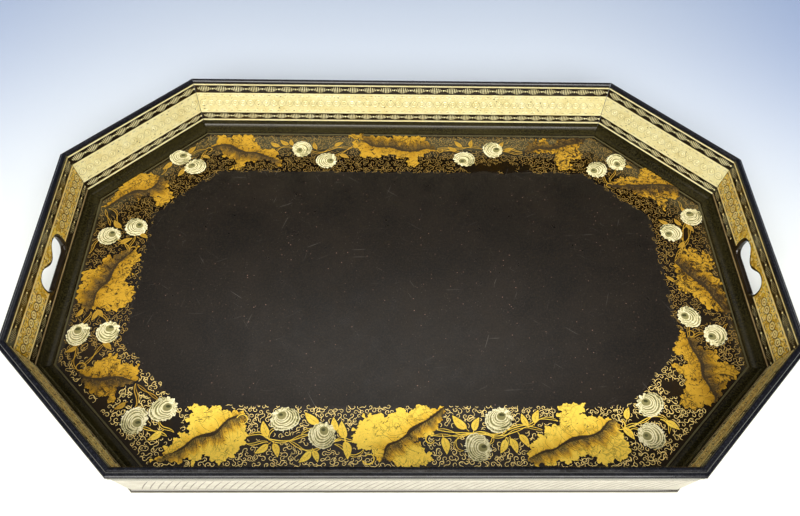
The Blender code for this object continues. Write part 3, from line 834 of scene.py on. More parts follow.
# Stems, each with its greatest width
STEMS = {
    "front": [
        ([(-152, -186), (-140, -186), (-132, -190), (-120, -190), (-110, -188), (-100, -185),
          (-92, -184)], 1.2),
        ([(-152, -193), (-140, -194), (-131, -192)], 0.9),
        ([(-112, -190), (-100, -196), (-90, -199), (-80, -198), (-70, -194), (-62, -190)], 1.1),
        ([(-130, -190), (-128, -180), (-122, -176)], 0.8),
        ([(-68, -191), (-58, -190), (-48, -190)], 1.0),
        ([(-68, -194), (-60, -201), (-50, -203), (-40, -199)], 1.0),
        ([(-100, -185), (-93, -180), (-86, -176)], 0.8),
        ([(30, -179), (45, -180), (60, -180), (78, -182), (88, -183), (100, -180), (112, -177),
          (122, -175), (130, -170), (140, -169), (149, -170)], 1.2),
        ([(27, -185), (40, -184), (60, -181), (75, -183), (85, -186), (97, -186), (110, -182),
          (120, -177), (133, -179)], 1.0),
        ([(60, -182), (52, -184), (49, -190), (51, -197), (55, -200)], 0.8),
        ([(97, -187), (100, -195)], 0.8), ([(85, -186), (82, -190), (79, -193)], 0.8),
        ([(212, -177), (222, -172), (235, -168), (250, -167), (257, -170)], 1.1),
        ([(250, -168), (257, -175), (256, -183)], 0.8), ([(212, -181), (220, -178), (228, -181)], 0.8),
        ([(-228, -186), (-240, -181), (-250, -177), (-256, -176)], 1.0),
        ([(-222, -182), (-232, -176), (-238, -169)], 0.9)],
    "right": [
        ([(306, 24), (312, 36), (318, 45), (325, 62), (329, 75), (333, 82)], 1.1),
        ([(310, 26), (318, 40), (328, 60), (334, 76)], 0.9),
        ([(322, 56), (318, 59), (314, 60)], 0.8), ([(312, 8), (304, 0), (296, -3)], 0.8),
        ([(298, -75), (302, -66), (306, -60)], 1.0), ([(300, -75), (311, -72), (318, -72)], 0.9),
        ([(250, 140), (246, 149), (243, 156)], 0.9), ([(252, 141), (258, 152), (262, 164)], 0.9),
        ([(345, -58), (336, -66), (330, -70)], 0.8), ([(333, 98), (331, 106), (328, 113)], 0.8)],
    "back": [
        ([(-50, 205), (-62, 196), (-78, 186), (-88, 180)], 1.1),
        ([(-62, 196), (-80, 194), (-100, 190), (-114, 192)], 1.0),
        ([(-136, 194), (-146, 196), (-154, 192), (-160, 184)], 1.0),
        ([(-240, 190), (-246, 180), (-249, 172)], 1.0), ([(-242, 191), (-254, 188), (-264, 182)], 0.9),
        ([(44, 194), (56, 193), (68, 190), (74, 186)], 1.1),
        ([(44, 196), (60, 198), (80, 196), (100, 195)], 1.0),
        ([(126, 194), (138, 194), (150, 191)], 1.1), ([(124, 191), (136, 188), (150, 189)], 0.8)],
    "left": [
        ([(-306, 32), (-312, 42), (-320, 50), (-327, 54)], 1.1),
        ([(-307, 32), (-305, 44), (-304, 56)], 0.9), ([(-350, 30), (-346, 42), (-340, 50)], 0.9),
        ([(-345, 94), (-340, 82), (-335, 70)], 1.0), ([(-322, 67), (-330, 84), (-342, 95)], 0.8),
        ([(-331, -46), (-334, -56), (-336, -62)], 1.0), ([(-322, -44), (-316, -54), (-311, -60)], 1.0),
        ([(-338, -88), (-336, -100), (-330, -114)], 1.0),
        ([(-308, -84), (-316, -98), (-327, -112)], 0.9),
        ([(-268, -130), (-266, -142), (-264, -156)], 1.0),
        ([(-266, -131), (-254, -140), (-243, -148)], 0.9),
        ([(-290, 148), (-284, 160), (-278, 168)], 1.0)],
}

# Tendrils that curl from the foot of a leaf: centre, radius, where each starts and how far it turns, in
# degrees
TENDRILS = [(-158, -169, 4.8, 160, -300), (-35, -208, 5.0, 200, 310), (209, -174, 4.6, 60, -290),
            (-327, -112, 4.6, 330, 300), (24, -189, 4.2, 120, 230), (302, -70, 3.6, 250, 260),
            (-302, 36, 3.8, 200, -260), (250, 136, 3.4, 20, 250), (-238, 190, 3.4, 150, -250),
            (48, 193, 3.2, 180, 250)]

# Places where the scrolls of the border are worn away: centre and radius
WORN_SPOTS = [(-222, -176, 9), (273, -137, 11), (96, 158, 14), (128, 163, 10), (150, 160, 7),
              (-318, -96, 7), (-296, -152, 6), (322, -52, 6), (-212, 148, 6)]

# Leaves along the front, with the least rubbed gilding and no painted shade in their gold
FRESH_LIT_LEAVES = ("front_left", "front", "front_right_end")
# Leaves that have lost much of their gilding
WORN_LEAVES = ("right", "back_right", "back_right_end")
# Tendrils nearer the front than this are as bright as the stems there
FRONT_TENDRILS = -160


LEAF_HEIGHT = 0.10
LEAFLET_HEIGHT = 0.11
UMBER_HEIGHT = 0.03     # how high the umber line work stands on the gilding
LEAF_TEETH = (8.6, 3.6), (3.1, 1.4)


def toothed_leaf(leaf):
    fold, lit, shaded = leaf
    return toothed([fold[0], *lit, fold[-1], *reversed(shaded)], *LEAF_TEETH)


def bowed(start, end, bow, step):
    """A line from one place to another that bows to its left by a share of its length."""
    across = np.array((-(end - start)[1], (end - start)[0]))
    return smooth_curve([start, (start + end) / 2 + across * bow, end], step)


def jittered(place, most, rng):
    return place + (rng.uniform(-most, most), rng.uniform(-most, most))


def leaf_tone(fold, left, sign, fresh):
    """The tone of a leaf's gilding: dark next to its fold on the shaded half, light on the other."""
    reach_of_shade = 18.0 if fresh else 22.0

    def tone(points):
        gaps = ((points[:, None] - fold[None]) ** 2).sum(axis=2)
        at = gaps.argmin(axis=1)
        away = np.sqrt(gaps.min(axis=1))
        on_shaded = sign * ((points - fold[at]) * left[at]).sum(axis=1) > 0
        ripple = 0.10 * np.sin(at * 0.37) + 0.06 * np.sin(at * 0.93 + 1.0)
        shade = np.clip(0.06 + away / reach_of_shade + 1.4 * ripple, 0.03, 0.92)
        return np.where(on_shaded, shade, np.clip(0.74 + away / 60.0 + ripple / 2, 0, 1))
    return tone


def add_flecks(strokes, outline, fold, fresh, rng):
    """Short umber flecks scattered over a leaf, lying more or less along its fold."""
    scattered, bold_share = (220, 0.28) if fresh else (300, 0.34)
    low, high = outline.min(axis=0), outline.max(axis=0)
    flecks = np.array([(rng.uniform(low[0], high[0]), rng.uniform(low[1], high[1]))
                       for _ in range(scattered)])
    flecks = flecks[inside(flecks, outline)]
    flecks = flecks[distance(flecks, resampled(outline, 0.8, closed=True)) > 1.4]
    lie = math.atan2(*(fold[-1] - fold[0])[::-1])
    for middle in flecks:
        bold = rng.random() < bold_share
        heading = lie + rng.gauss(0, 0.45)
        length, width = (rng.uniform(2.4, 5.6), rng.uniform(1.0, 2.0)) if bold else (
            rng.uniform(0.6, 2.0), rng.uniform(0.35, 0.7))
        step = np.array((math.cos(heading), math.sin(heading))) * length / 2
        bow = np.array((-step[1], step[0])) * rng.uniform(-0.3, 0.3)
        strokes.ribbon([middle - step, middle + bow, middle + step], [0.15, width, 0.12], UMBER_HEIGHT,
                       base=LEAF_HEIGHT)


def make_leaf(name, leaf, rng):
    """A gilt vine leaf with a dark fold, hatched shade on one half and veins on the other."""
    fold = smooth_curve(leaf[0], 0.8)
    left = normals(fold)
    lit, shaded = (resampled(half, 1.0) for half in leaf[1:])
    shaded_middle = shaded[len(shaded) // 2]
    nearest = int(np.argmin(((fold - shaded_middle) ** 2).sum(axis=1)))
    sign = 1.0 if np.dot(left[nearest], shaded_middle - fold[nearest]) > 0 else -1.0

    fresh = name in FRESH_LIT_LEAVES
    outline = toothed_leaf(leaf)
    film = Relief(floor_surface)
    film.film(outline, LEAF_HEIGHT, spacing=1.8, tone=leaf_tone(fold, left, sign, fresh))
    # leaves away from the front get darker gold: partly wear, partly painted shade
    gold = "leaf" if fresh else "worn_leaf" if name in WORN_LEAVES else "rubbed_shaded_leaf"
    film.make(f"vine_leaf_{name}", MATERIALS[gold], "gilding")

    strokes = Relief(floor_surface)
    count = len(fold)
    share = np.linspace(0, 1, count)
    band = 3.0 * np.sin(math.pi * share ** 0.85) ** 0.8 * (1 + 0.35 * np.sin(share * 17.0))
    edge = fold + left * (sign * band)[:, None]
    strokes.film(np.vstack((fold, edge[-2:0:-1])), UMBER_HEIGHT, base=LEAF_HEIGHT)
    for i in range(2, count - 2):
        target = jittered(shaded[int(share[i] * (len(shaded) - 1))], 5, rng)
        end = fold[i] + (target - fold[i]) * rng.uniform(0.22, 0.80)
        line = bowed(fold[i], end, rng.uniform(-0.18, 0.18), 2.4)
        strokes.ribbon(line, np.linspace(0.62, 0.12, len(line)), 0.035, base=LEAF_HEIGHT)
    for i in range(6, count - 4, 11):
        target = jittered(lit[int(share[i] * (len(lit) - 1))], 4, rng)
        end = fold[i] + (target - fold[i]) * rng.uniform(0.45, 0.85)
        line = bowed(fold[i], end, rng.choice((-1, 1)) * rng.uniform(0.12, 0.3), 1.5)
        strokes.ribbon(line, np.linspace(0.60, 0.15, len(line)), UMBER_HEIGHT, base=LEAF_HEIGHT)
    add_flecks(strokes, outline, fold, fresh, rng)
    strokes.make(f"vine_leaf_shading_{name}", MATERIALS["umber"], "gilding")


def make_leaves():
    rng = random.Random(11)
    for name, leaf in LEAVES.items():
        make_leaf(name, leaf, rng)


def rose_size(pair):
    """The roses along the front are a little larger than the others."""
    return ROSE_RADIUS if pair.startswith("front") else ROSE_RADIUS * SMALLER_ROSE


def make_rose(name, x, y, eye_way, size, rng):
    """A rose: crescent petals stacked away from a dark eye, with brushed rays on the eye's side."""
    petals, around = 6, 84
    # Rings across one petal, from its inner edge to its outer one, and how light each of them is
    across = (0.0, 0.18, 0.48, 0.80, 1.0)
    gleam = (0.22, 0.31, 0.50, 0.87, 0.85)
    eye_offset, eye_radius = 5.0, 3.7
    rays = 19
    way = math.radians(eye_way)
    middle = np.array((x, y), float)
    eye = middle + np.array((math.cos(way), math.sin(way))) * eye_offset
    turn = np.arange(around) * 2 * math.pi / around
    circle = np.column_stack((np.cos(turn), np.sin(turn)))
    away = 0.5 - 0.5 * np.cos(turn - way)
    ticks = np.array([rng.uniform(-1, 1) for _ in range(around)])
    flank = rng.choice((-1, 1)) * math.radians(rng.uniform(70, 115))
    swell = 0.05 * np.cos(2 * (turn - rng.uniform(0, math.pi)))
    rings, heights, tones = [], [], []
    for petal in range(petals):
        start = rng.uniform(0, 2 * math.pi)
        drift = np.array((rng.uniform(-0.5, 0.5), rng.uniform(-0.5, 0.5))) * (petal < petals - 1)
        bend = 0.05 * np.sin(2 * turn + start) + 0.03 * np.sin(3 * turn + 2 * start)
        for inner, shine in zip(across, gleam):
            share = (petal + inner) / petals
            centre = eye + (middle - eye) * share + drift
            radius = eye_radius + (size - eye_radius) * share
            fringe = 0.25 + 0.75 * np.clip(1.25 - 1.5 * away, 0, 1)
            notch = 0.042 * np.sin(turn * (9 + petal) + start) + 0.040 * ticks
            wobble = 1 + notch * fringe * (0.3 + 0.7 * inner) * (0.4 + share) + swell + bend
            dome = 0.62 * math.sqrt(max(1 - 0.80 * share ** 2, 0.0))
            lip = 0.18 * inner * (0.4 + 0.6 * away)
            shadow = 0.26 * np.clip(np.cos(turn - way - flank), 0, 1) * share
            value = shine - shadow + 0.16 * ticks * inner
            brushed = 0.46 + 0.24 * inner + 0.38 * ticks
            value = np.where(away < 0.30, np.maximum(value, brushed), value)
            rings.append(centre + circle * (radius * wobble)[:, None])
            heights.append(np.broadcast_to(dome + lip - (0.12 if inner == 0 else 0.0), around))
            tones.append(np.clip(value, 0.04, 1.0))
    rings.append(rings[-1] + (rings[-1] - middle) * 0.015)
    heights.append(np.full(around, SINK))
    tones.append(np.full(around, 0.4))
    levels = len(rings)
    points = np.vstack([np.column_stack((ring, height)) for ring, height in zip(rings, heights)])
    points = np.vstack((points, [(eye[0], eye[1], 0.38)]))
    faces = []
    for level in range(levels - 1):
        for i in range(around):
            j = (i + 1) % around
            a, b = level * around, (level + 1) * around
            faces.append((a + j, a + i, b + i, b + j))
    faces += [(i, (i + 1) % around, levels * around) for i in range(around)]
    last = (levels - 1) * around
    faces.append(tuple(last + i for i in reversed(range(around))))
    rose = Relief(floor_surface)
    rose.add(points, faces, np.concatenate(tones + [np.array([0.0])]))
    # The eye is a grey-green hollow with a dark heart, and rays of cream and dark green fan out from it
    rose.dot(eye[0], eye[1], eye_radius * 1.18, 0.30, base=0.42, tone=0.31, sides=18, stretch=1.15)
    rose.dot(eye[0] + rng.uniform(-0.8, 0.8), eye[1] + rng.uniform(0.2, 1.1), eye_radius * 0.50, 0.16,
             base=0.62, tone=0.10, sides=12, stretch=rng.uniform(1.1, 1.7))
    for k in range(rays):
        angle = way + math.pi * (0.45 + 1.1 * k / (rays - 1)) + rng.uniform(-0.08, 0.08)
        heading = np.array((math.cos(angle), math.sin(angle)))
        line = resampled([middle + heading * size * rng.uniform(0.60, 0.78),
                          middle + heading * size * rng.uniform(0.98, 1.07)], 2.0)
        tone = rng.uniform(0.85, 1.0) if k % 3 else 0.15
        rose.ribbon(line, np.linspace(0.4, 0.9, len(line)), 0.30, base=0.24, tone=tone)
    rose.make(name, MATERIALS["rose"], "rose_paint")


def make_roses():
    rng = random.Random(5)
    for pair, places in ROSES.items():
        for number, (x, y, eye_way) in enumerate(places, start=1):
            make_rose(f"rose_{pair}_{number}", x, y, eye_way, rose_size(pair), rng)


STEM_STEP = 1.6


def leaflet_outline(tip, base):
    """The outline and the midrib of a pointed leaflet that is widest a little short of its middle."""
    tip, base = np.array(tip, float), np.array(base, float)
    length = np.linalg.norm(tip - base)
    along = (tip - base) / length
    across = np.array((-along[1], along[0]))
    share = np.linspace(0, 1, 15)
    half = 0.24 * length * np.sin(math.pi * share ** 0.72) ** 0.85
    bend = 0.05 * length * np.sin(math.pi * share)
    spine = base + share[:, None] * (tip - base) + bend[:, None] * across
    left = spine + half[:, None] * across
    right = spine - half[:, None] * across * 0.85
    return np.vstack((left, right[-2:0:-1])), spine


def swayed(line, sway, waves=1.0):
    """A line that swings to either side of its course."""
    share = np.linspace(0, 1, len(line))
    return line + normals(line) * (sway * np.sin(2 * math.pi * waves * share))[:, None]


def make_stems():
    """Stems and leaflets that join leaves and roses, one piece for each side."""
    rng = random.Random(23)
    for part, stems in STEMS.items():
        gilt = Relief(floor_surface)
        ink = Relief(floor_surface)
        for points, width in stems:
            line = smooth_curve(points, STEM_STEP)
            length = STEM_STEP * len(line)
            line = swayed(line, rng.choice((-1, 1)) * min(0.05 * length, 2.2))
            swell = 0.6 + 0.4 * np.sin(math.pi * np.linspace(0, 1, len(line)))
            gilt.ribbon(line, 1.05 * width * swell, 0.14)
            gilt.ribbon(swayed(line, 2.3, max(0.5, round(length / 20) / 2)), 0.80 * width * swell, 0.12)
        for tip, base in LEAFLETS[part]:
            outline, spine = leaflet_outline(tip, base)
            gilt.film(outline, LEAFLET_HEIGHT, spacing=2.0)
            stub = np.array(base) + (np.array(base) - np.array(tip)) * 0.18
            gilt.ribbon(resampled([base, stub], 1.0), 0.8, 0.12)
            midrib = spine[2:-2]
            ink.ribbon(midrib, np.linspace(0.5, 0.12, len(midrib)), UMBER_HEIGHT, base=LEAFLET_HEIGHT)
            for k in (4, 7, 10):
                for way in (-1, 1):
                    reach = outline[k] if way > 0 else outline[-k]
                    end = spine[k] + (reach - spine[k]) * rng.uniform(0.4, 0.7) + (spine[k + 2] - spine[k])
                    ink.ribbon(resampled([spine[k], end], 1.2), 0.22, 0.025, base=LEAFLET_HEIGHT)
        # stems away from the front are darker: partly wear, partly painted shade
        gilt.make(f"stems_{part}", MATERIALS["stem" if part == "front" else "rubbed_shaded_stem"], "gilding")
        ink.make(f"leaflet_veins_{part}", MATERIALS["umber"], "gilding")


def make_tendrils():
    fresh, rubbed = Relief(floor_surface), Relief(floor_surface)
    count = 28
    for x, y, radius, first, sweep in TENDRILS:
        # tendrils away from the front are darker: partly wear, partly painted shade
        tendrils = fresh if y < FRONT_TENDRILS else rubbed
        turn = np.radians(np.linspace(first, first + sweep, count))
        reach = radius * np.linspace(1.25, 0.75, count)
        line = np.column_stack((x + reach * np.cos(turn), y + reach * np.sin(turn)))
        tendrils.ribbon(line, np.linspace(1.4, 0.6, count), 0.16, base=LEAF_HEIGHT)
    fresh.make("leaf_tendrils_front", MATERIALS["stem"], "gilding")
    rubbed.make("leaf_tendrils_side", MATERIALS["rubbed_shaded_stem"], "gilding")


CURL_POINTS = 24
CURL_STEP = 0.60
CURL_PITCH = 6.1
CURL_ROWS = 0.80        # how far apart the rows of curls are, as a share of their pitch
SHORTEST_CURL = 7       # a curl with fewer points left than this is dropped
MOTIF_CLEAR = 0.75      # the dark ground kept clear round leaves and roses, mm
STEM_CLEAR = 2.5        # and to either side of a stem
ROSE_GROUND = 0.97      # the share of a rose's radius that the scrolls keep out of
LINE_HEIGHT = 0.07
BORDER_INNER = octagon(*BORDER_INNER_SIZE)
BORDER_OUTER = octagon(*BORDER_OUTER_SIZE)


def curl(rng):
    """One small scroll of the vermicular ground: a spiral that opens into a tail bent the other way."""
    share = np.linspace(0, 1, CURL_POINTS)
    tail = rng.uniform(0.58, 0.86)
    bend = np.where(share < tail, 1 / (0.70 + 2.0 * share / tail), -1 / rng.uniform(1.9, 3.4))
    heading = np.cumsum(bend) * CURL_STEP * rng.choice((-1, 1)) + rng.uniform(0, 2 * math.pi)
    line = np.cumsum(np.column_stack((np.cos(heading), np.sin(heading))), axis=0) * CURL_STEP
    return line - line[:14].mean(axis=0)


def worn_away(points, x, y, radius):
    """Which points lie in an irregular bare patch."""
    offset = points - (x, y)
    turn = np.arctan2(offset[:, 1], offset[:, 0])
    edge = radius * (1 + 0.32 * np.sin(2 * turn + x) + 0.24 * np.sin(5 * turn + y)
                     + 0.14 * np.sin(9 * turn))
    return (offset ** 2).sum(axis=1) < edge ** 2


def scroll_sheen(middle):
    """Tone of the scrolls, a painted sheen and shade: bright along the front, duller round the sides and at
    the back.
    """
    front = min(max((-middle[1] - 60) / 110, 0.0), 1.0)
    back = min(max((middle[1] - 40) / 110, 0.0), 1.0)
    aside = min(max((abs(middle[0]) - 260) / 40, 0.0), 1.0) * (1 - front)
    return 0.44 + 0.54 * front - 0.12 * back - 0.08 * aside


def nearest_side(x, y):
    """The side whose crest line lies nearest to a place on the floor."""
    def beyond(side):
        angle = math.radians(SIDES[side])
        return (x * math.cos(angle) + y * math.sin(angle)) * MM - crest_distance(side)
    return max(SIDES, key=beyond)


def close_by(free, points, line, reach):
    """Which of the free points, by number, may lie within reach of a line."""
    low, high = line.min(axis=0) - reach, line.max(axis=0) + reach
    return np.flatnonzero(free & (points > low).all(axis=1) & (points < high).all(axis=1))


def longest_run(mask):
    """Start and end of the longest unbroken stretch of a mask."""
    edges = np.flatnonzero(np.diff(np.concatenate(([0], mask, [0])))).reshape(-1, 2)
    return edges[np.argmax(edges[:, 1] - edges[:, 0])] if len(edges) else (0, 0)


def ground_motifs():
    """Outlines of the leaves, roses and leaflets that the scrolls keep clear of."""
    motifs = [toothed_leaf(leaf) for leaf in LEAVES.values()]
    turn = np.arange(40) * 2 * math.pi / 40
    for pair, places in ROSES.items():
        reach = ROSE_GROUND * rose_size(pair)
        motifs += [np.column_stack((x + reach * np.cos(turn), y + reach * np.sin(turn)))
                   for x, y, _ in places]
    return motifs + [leaflet_outline(tip, base)[0] for pairs in LEAFLETS.values() for tip, base in pairs]


def make_scrollwork():
    """The ground of small gilt scrolls between the leaves and roses, one piece for each side."""
    rng = random.Random(7)
    curls = []
    rows = np.arange(-218, 218, CURL_PITCH * CURL_ROWS)
    for row, y in enumerate(rows):
        for x in np.arange(-354, 354, CURL_PITCH):
            middle = (x + CURL_PITCH / 2 * (row % 2) + rng.uniform(-1.2, 1.2), y + rng.uniform(-1.2, 1.2))
            curls.append(curl(rng) * rng.uniform(0.85, 1.20) + middle)
    points = np.vstack(curls)
    # The border's inner edge is ragged: every curl stops a little before it or runs a little over it
    drift = np.array([rng.uniform(-3.5, 3.5) for _ in curls]).repeat(CURL_POINTS)
    shifted = points * (1 - drift / 300)[:, None]
    free = inside(points, BORDER_OUTER) & ~inside(shifted, BORDER_INNER)
    for motif in ground_motifs():
        near = close_by(free, points, motif, 1.2)
        if len(near):
            edge = resampled(motif, 0.8, closed=True)
            hit = inside(points[near], motif) | (distance(points[near], edge) < MOTIF_CLEAR)
            free[near[hit]] = False
    for stem, _ in [stem for stems in STEMS.values() for stem in stems]:
        line = smooth_curve(stem, STEM_STEP)
        near = close_by(free, points, line, STEM_CLEAR)
        if len(near):
            free[near[distance(points[near], line) < STEM_CLEAR]] = False
    for x, y, radius in WORN_SPOTS:
        free &= ~worn_away(points, x, y, radius)

    pieces = {side: Relief(floor_surface) for side in SIDES}
    for index, line in enumerate(curls):
        first, last = longest_run(free[index * CURL_POINTS:(index + 1) * CURL_POINTS])
        if last - first < SHORTEST_CURL:
            continue
        kept = line[first:last]
        middle = kept.mean(axis=0)
        share = np.linspace(0, 1, len(kept))
        sheen = scroll_sheen(middle)
        width = rng.uniform(0.36, 0.57) + 0.34 * sheen
        pieces[nearest_side(*middle)].ribbon(kept, width * (0.60 + 0.40 * np.sin(math.pi * share)),
                                             LINE_HEIGHT, tone=sheen)
    for side, piece in pieces.items():
        piece.make(f"scrollwork_{side}", MATERIALS["line"], "gilding")


FLOOR_LINE_INSET = 27.0
FLOOR_LINE_HALF = 0.8


def inset_loop(inset):
    """Corners of the tray's octagon at an inset from the rim's crest line, in mm."""
    half_x, half_y = CREST_X / MM - inset, CREST_Y / MM - inset
    diagonal = (CREST_X + CREST_Y - CORNER_CUT) / MM - inset * math.sqrt(2)
    return octagon(half_x, half_y, diagonal)


def make_floor_line():
    line = Relief(floor_surface)
    line.film(inset_loop(FLOOR_LINE_INSET - FLOOR_LINE_HALF), 0.06,
              holes=[inset_loop(FLOOR_LINE_INSET + FLOOR_LINE_HALF)])
    line.make("floor_line", MATERIALS["olive"], "gilding")


# ----------------------------------------
# Gallery: gilt bands on the inner face of each panel, and a cream one on the outer face
# ----------------------------------------

# The lowest and the highest edge of each band, up the panel's slope
TOP_LINE = (60.0, 61.8)
UPPER_OVALS = dict(low=50.5, high=59.5, length=16.4, pitch=19.8)
GOLD_BAND = (21.4, 49.4)
LOWER_OVALS = dict(low=12.6, high=20.6, length=14.6, pitch=17.5)
FOOT_LINE = (9.9, 11.9)
RING_PITCH = 9.6
RING_RADIUS = 3.7
BAND_HEIGHT = 0.14
OUTER_ROPE = (3.5, 44.0)
OUTER_MARGIN = 2.0
OUTER_GAP = -2.4        # negative, as the outer face is longer than the inner one at either end
OUTER_PITCH = 7.2
OUTER_SLANT = 8.0       # how far a stroke's ends lie to the left and the right of its middle
MITRE_GAP = 0.4

# The kidney-shaped handhold with the plain edge round it, from the handhold's own middle. The handholds
# lie a little nearer the front than the middle of their panels.
HANDHOLD = [(-23.2, 13.6), (0, 13.6), (23.2, 13.6), (31.8, 17.4), (35.1, 27.8), (32, 39.1), (20.5, 43.8),
            (8.3, 38.4), (0, 34.3), (-8.3, 38.4), (-20.5, 43.8), (-32, 39.1), (-35.1, 27.8), (-31.8, 17.4)]
HANDHOLD_SHIFT = 4.0
HANDHOLD_CLEAR = 42.0
PIERCED_SIDES = ("left", "right")

# Sides that face the front light: their gilding is painted pale, a painted highlight; on the others the
# gilt band and foot line are painted darker, as painted shade of the same gilding
LIT_SIDES = ("back_left", "back", "back_right")


def handhold_centre(side):
    """Where the handhold's middle lies along its panel."""
    return HANDHOLD_SHIFT * math.cos(math.radians(SIDES[side]))


def handhold_loop(side):
    points = HANDHOLD[1:] + HANDHOLD[:2]
    return smooth_curve(points + [points[1]], 1.5)[:-1] + (handhold_centre(side), 0)


def trapezoid(side, low, high, gap=MITRE_GAP):
    """The stretch of a panel's inner face between two heights, mitre to mitre."""
    a, b = wall_half_length(side, low) - gap, wall_half_length(side, high) - gap
    return np.array([(-a, low), (a, low), (b, high), (-b, high)])


def evenly(half, pitch):
    """Places about a pitch apart that fill a panel symmetrically."""
    count = max(1, round(2 * half / pitch))
    return [(k + 0.5) * 2 * half / count - half for k in range(count)]


def oval(relief, x, low, high, length, boldness, rng):
    """One anthemion oval: a fan of upright strokes that fills a pointed lens."""
    middle = (low + high) / 2
    half_height = (high - low) / 2 - 0.35
    strokes = 8
    for k in range(strokes):
        share = (k + 0.5) / strokes * 2 - 1
        reach = half_height * (1 - abs(share) ** 1.7 * 0.86)
        lean = share * 0.9
        centre = x + share * length / 2
        line = [(centre - lean, middle - reach), (centre + rng.uniform(-0.06, 0.06), middle),
                (centre + lean, middle + reach)]
        relief.ribbon(line, np.array((0.50, 1.12, 0.54)) * boldness, 0.13)


def rosette(relief, ink, x, height, base, boldness, breadth):
    """A ringed rosette of the gilt band, with two scrolls above it and two below."""
    relief.ring(x, height, RING_RADIUS - 0.3, breadth, 0.20, base=base)
    relief.dot(x, height, 1.3, 0.42, base=base, sides=12)
    ink.ring(x, height, RING_RADIUS + 0.7, 0.45 * boldness, 0.07, base=base)
    ink.ring(x, height, RING_RADIUS * 0.52, 0.22 * boldness, 0.06, base=base, sides=24)
    turn = np.linspace(0.15 * math.pi, 1.25 * math.pi, 9)
    for way in (-1, 1):
        for up in (-1, 1):
            scroll = np.column_stack((x + way * (3 + 2.1 * np.cos(turn)),
                                      height + up * (8.3 + 2.0 * np.sin(turn))))
            relief.ribbon(scroll, np.linspace(0.75, 0.35, 9), 0.15, base=base)
            ink.ribbon(scroll + (0.9 * way, 0.7 * up), np.linspace(0.5, 0.2, 9) * boldness, 0.06, base=base)


def make_gilt_band(side, surface, holes, rng):
    """The broad gilt band of a panel with its rosettes, edge lines and dark pits."""
    low, high = GOLD_BAND
    bright = side in LIT_SIDES
    boldness, breadth, pits_per_mm = (0.7, 0.8, 0.35) if bright else (3.8, 1.7, 4.0)
    corners = trapezoid(side, low, high)
    outline = np.vstack([resampled([a, b], 6.0)[:-1]
                         for a, b in zip(corners, np.roll(corners, -1, axis=0))])
    band = Relief(surface)
    band.film(outline, BAND_HEIGHT, holes=holes, spacing=6.0)
    # the band's gold is pale on the sides facing the front light, a painted highlight, and darker
    # elsewhere, painted shade
    band.make(f"gilt_band_{side}", MATERIALS["lit_band" if bright else "shaded_band"], "gilding")

    relief, ink = Relief(surface), Relief(surface)
    relief.film(trapezoid(side, high - 2.2, high - 0.4), 0.10, base=BAND_HEIGHT)
    relief.film(trapezoid(side, low + 0.4, low + 2.2), 0.10, base=BAND_HEIGHT, holes=holes)
    middle = (low + high) / 2
    half = wall_half_length(side, middle) - 1.5
    places = evenly(half, RING_PITCH)
    for x in places:
        if holes and abs(x - handhold_centre(side)) < HANDHOLD_CLEAR:
            continue
        rosette(relief, ink, x, middle, BAND_HEIGHT, boldness, breadth)
        for height in (middle - 6.4, middle + 6.4):
            relief.dot(x + half / len(places), height, 0.75, 0.25, base=BAND_HEIGHT, sides=8)
    for _ in range(int(half * pits_per_mm)):
        x, height = rng.uniform(-half, half), rng.uniform(low + 1, high - 1)
        if not holes or not inside([(x, height)], holes[0])[0]:
            ink.dot(x, height, rng.choice((0.35, 0.5, 0.8)), 0.05, base=BAND_HEIGHT, sides=7)
            if not bright:
                relief.dot(x + rng.uniform(-2, 2), height + rng.uniform(-1, 1), rng.choice((0.5, 0.8)),
                           0.12, base=BAND_HEIGHT, sides=7)
    relief.make(f"band_ornament_{side}", MATERIALS["pale_relief" if bright else "deep_relief"], "gilding")
    ink.make(f"band_ink_{side}", MATERIALS["umber" if bright else "sepia"], "gilding")


def make_oval_bands(side, surface, holes, rng):
    """The two rows of ovals, with the thin gilt lines above and below them."""
    bright = side in LIT_SIDES
    boldness = 1.0 if bright else 0.24
    lines = Relief(surface)
    lines.film(trapezoid(side, *TOP_LINE), 0.12)
    foot = Relief(surface)
    foot.film(trapezoid(side, *FOOT_LINE), 0.12)
    # the foot line is pale on the sides facing the front light and darker, as painted shade, on the others
    foot.make(f"foot_line_{side}", MATERIALS["pale_relief" if bright else "foot_line"], "gilding")
    for ovals in (UPPER_OVALS, LOWER_OVALS):
        half = wall_half_length(side, ovals["low"]) - 1.0
        places = evenly(half, ovals["pitch"])
        pitch = places[1] - places[0]
        for x in places:
            cut = holes and ovals is LOWER_OVALS
            if cut and abs(x - handhold_centre(side)) < HANDHOLD_CLEAR:
                continue
            oval(lines, x, ovals["low"], ovals["high"], ovals["length"] * pitch / ovals["pitch"],
                 boldness, rng)
            lines.dot(x + pitch / 2, (ovals["low"] + ovals["high"]) / 2, 1.15, 0.3, sides=10)
    lines.make(f"gilt_ovals_{side}", MATERIALS["pale_relief" if bright else "deep_relief"], "gilding")


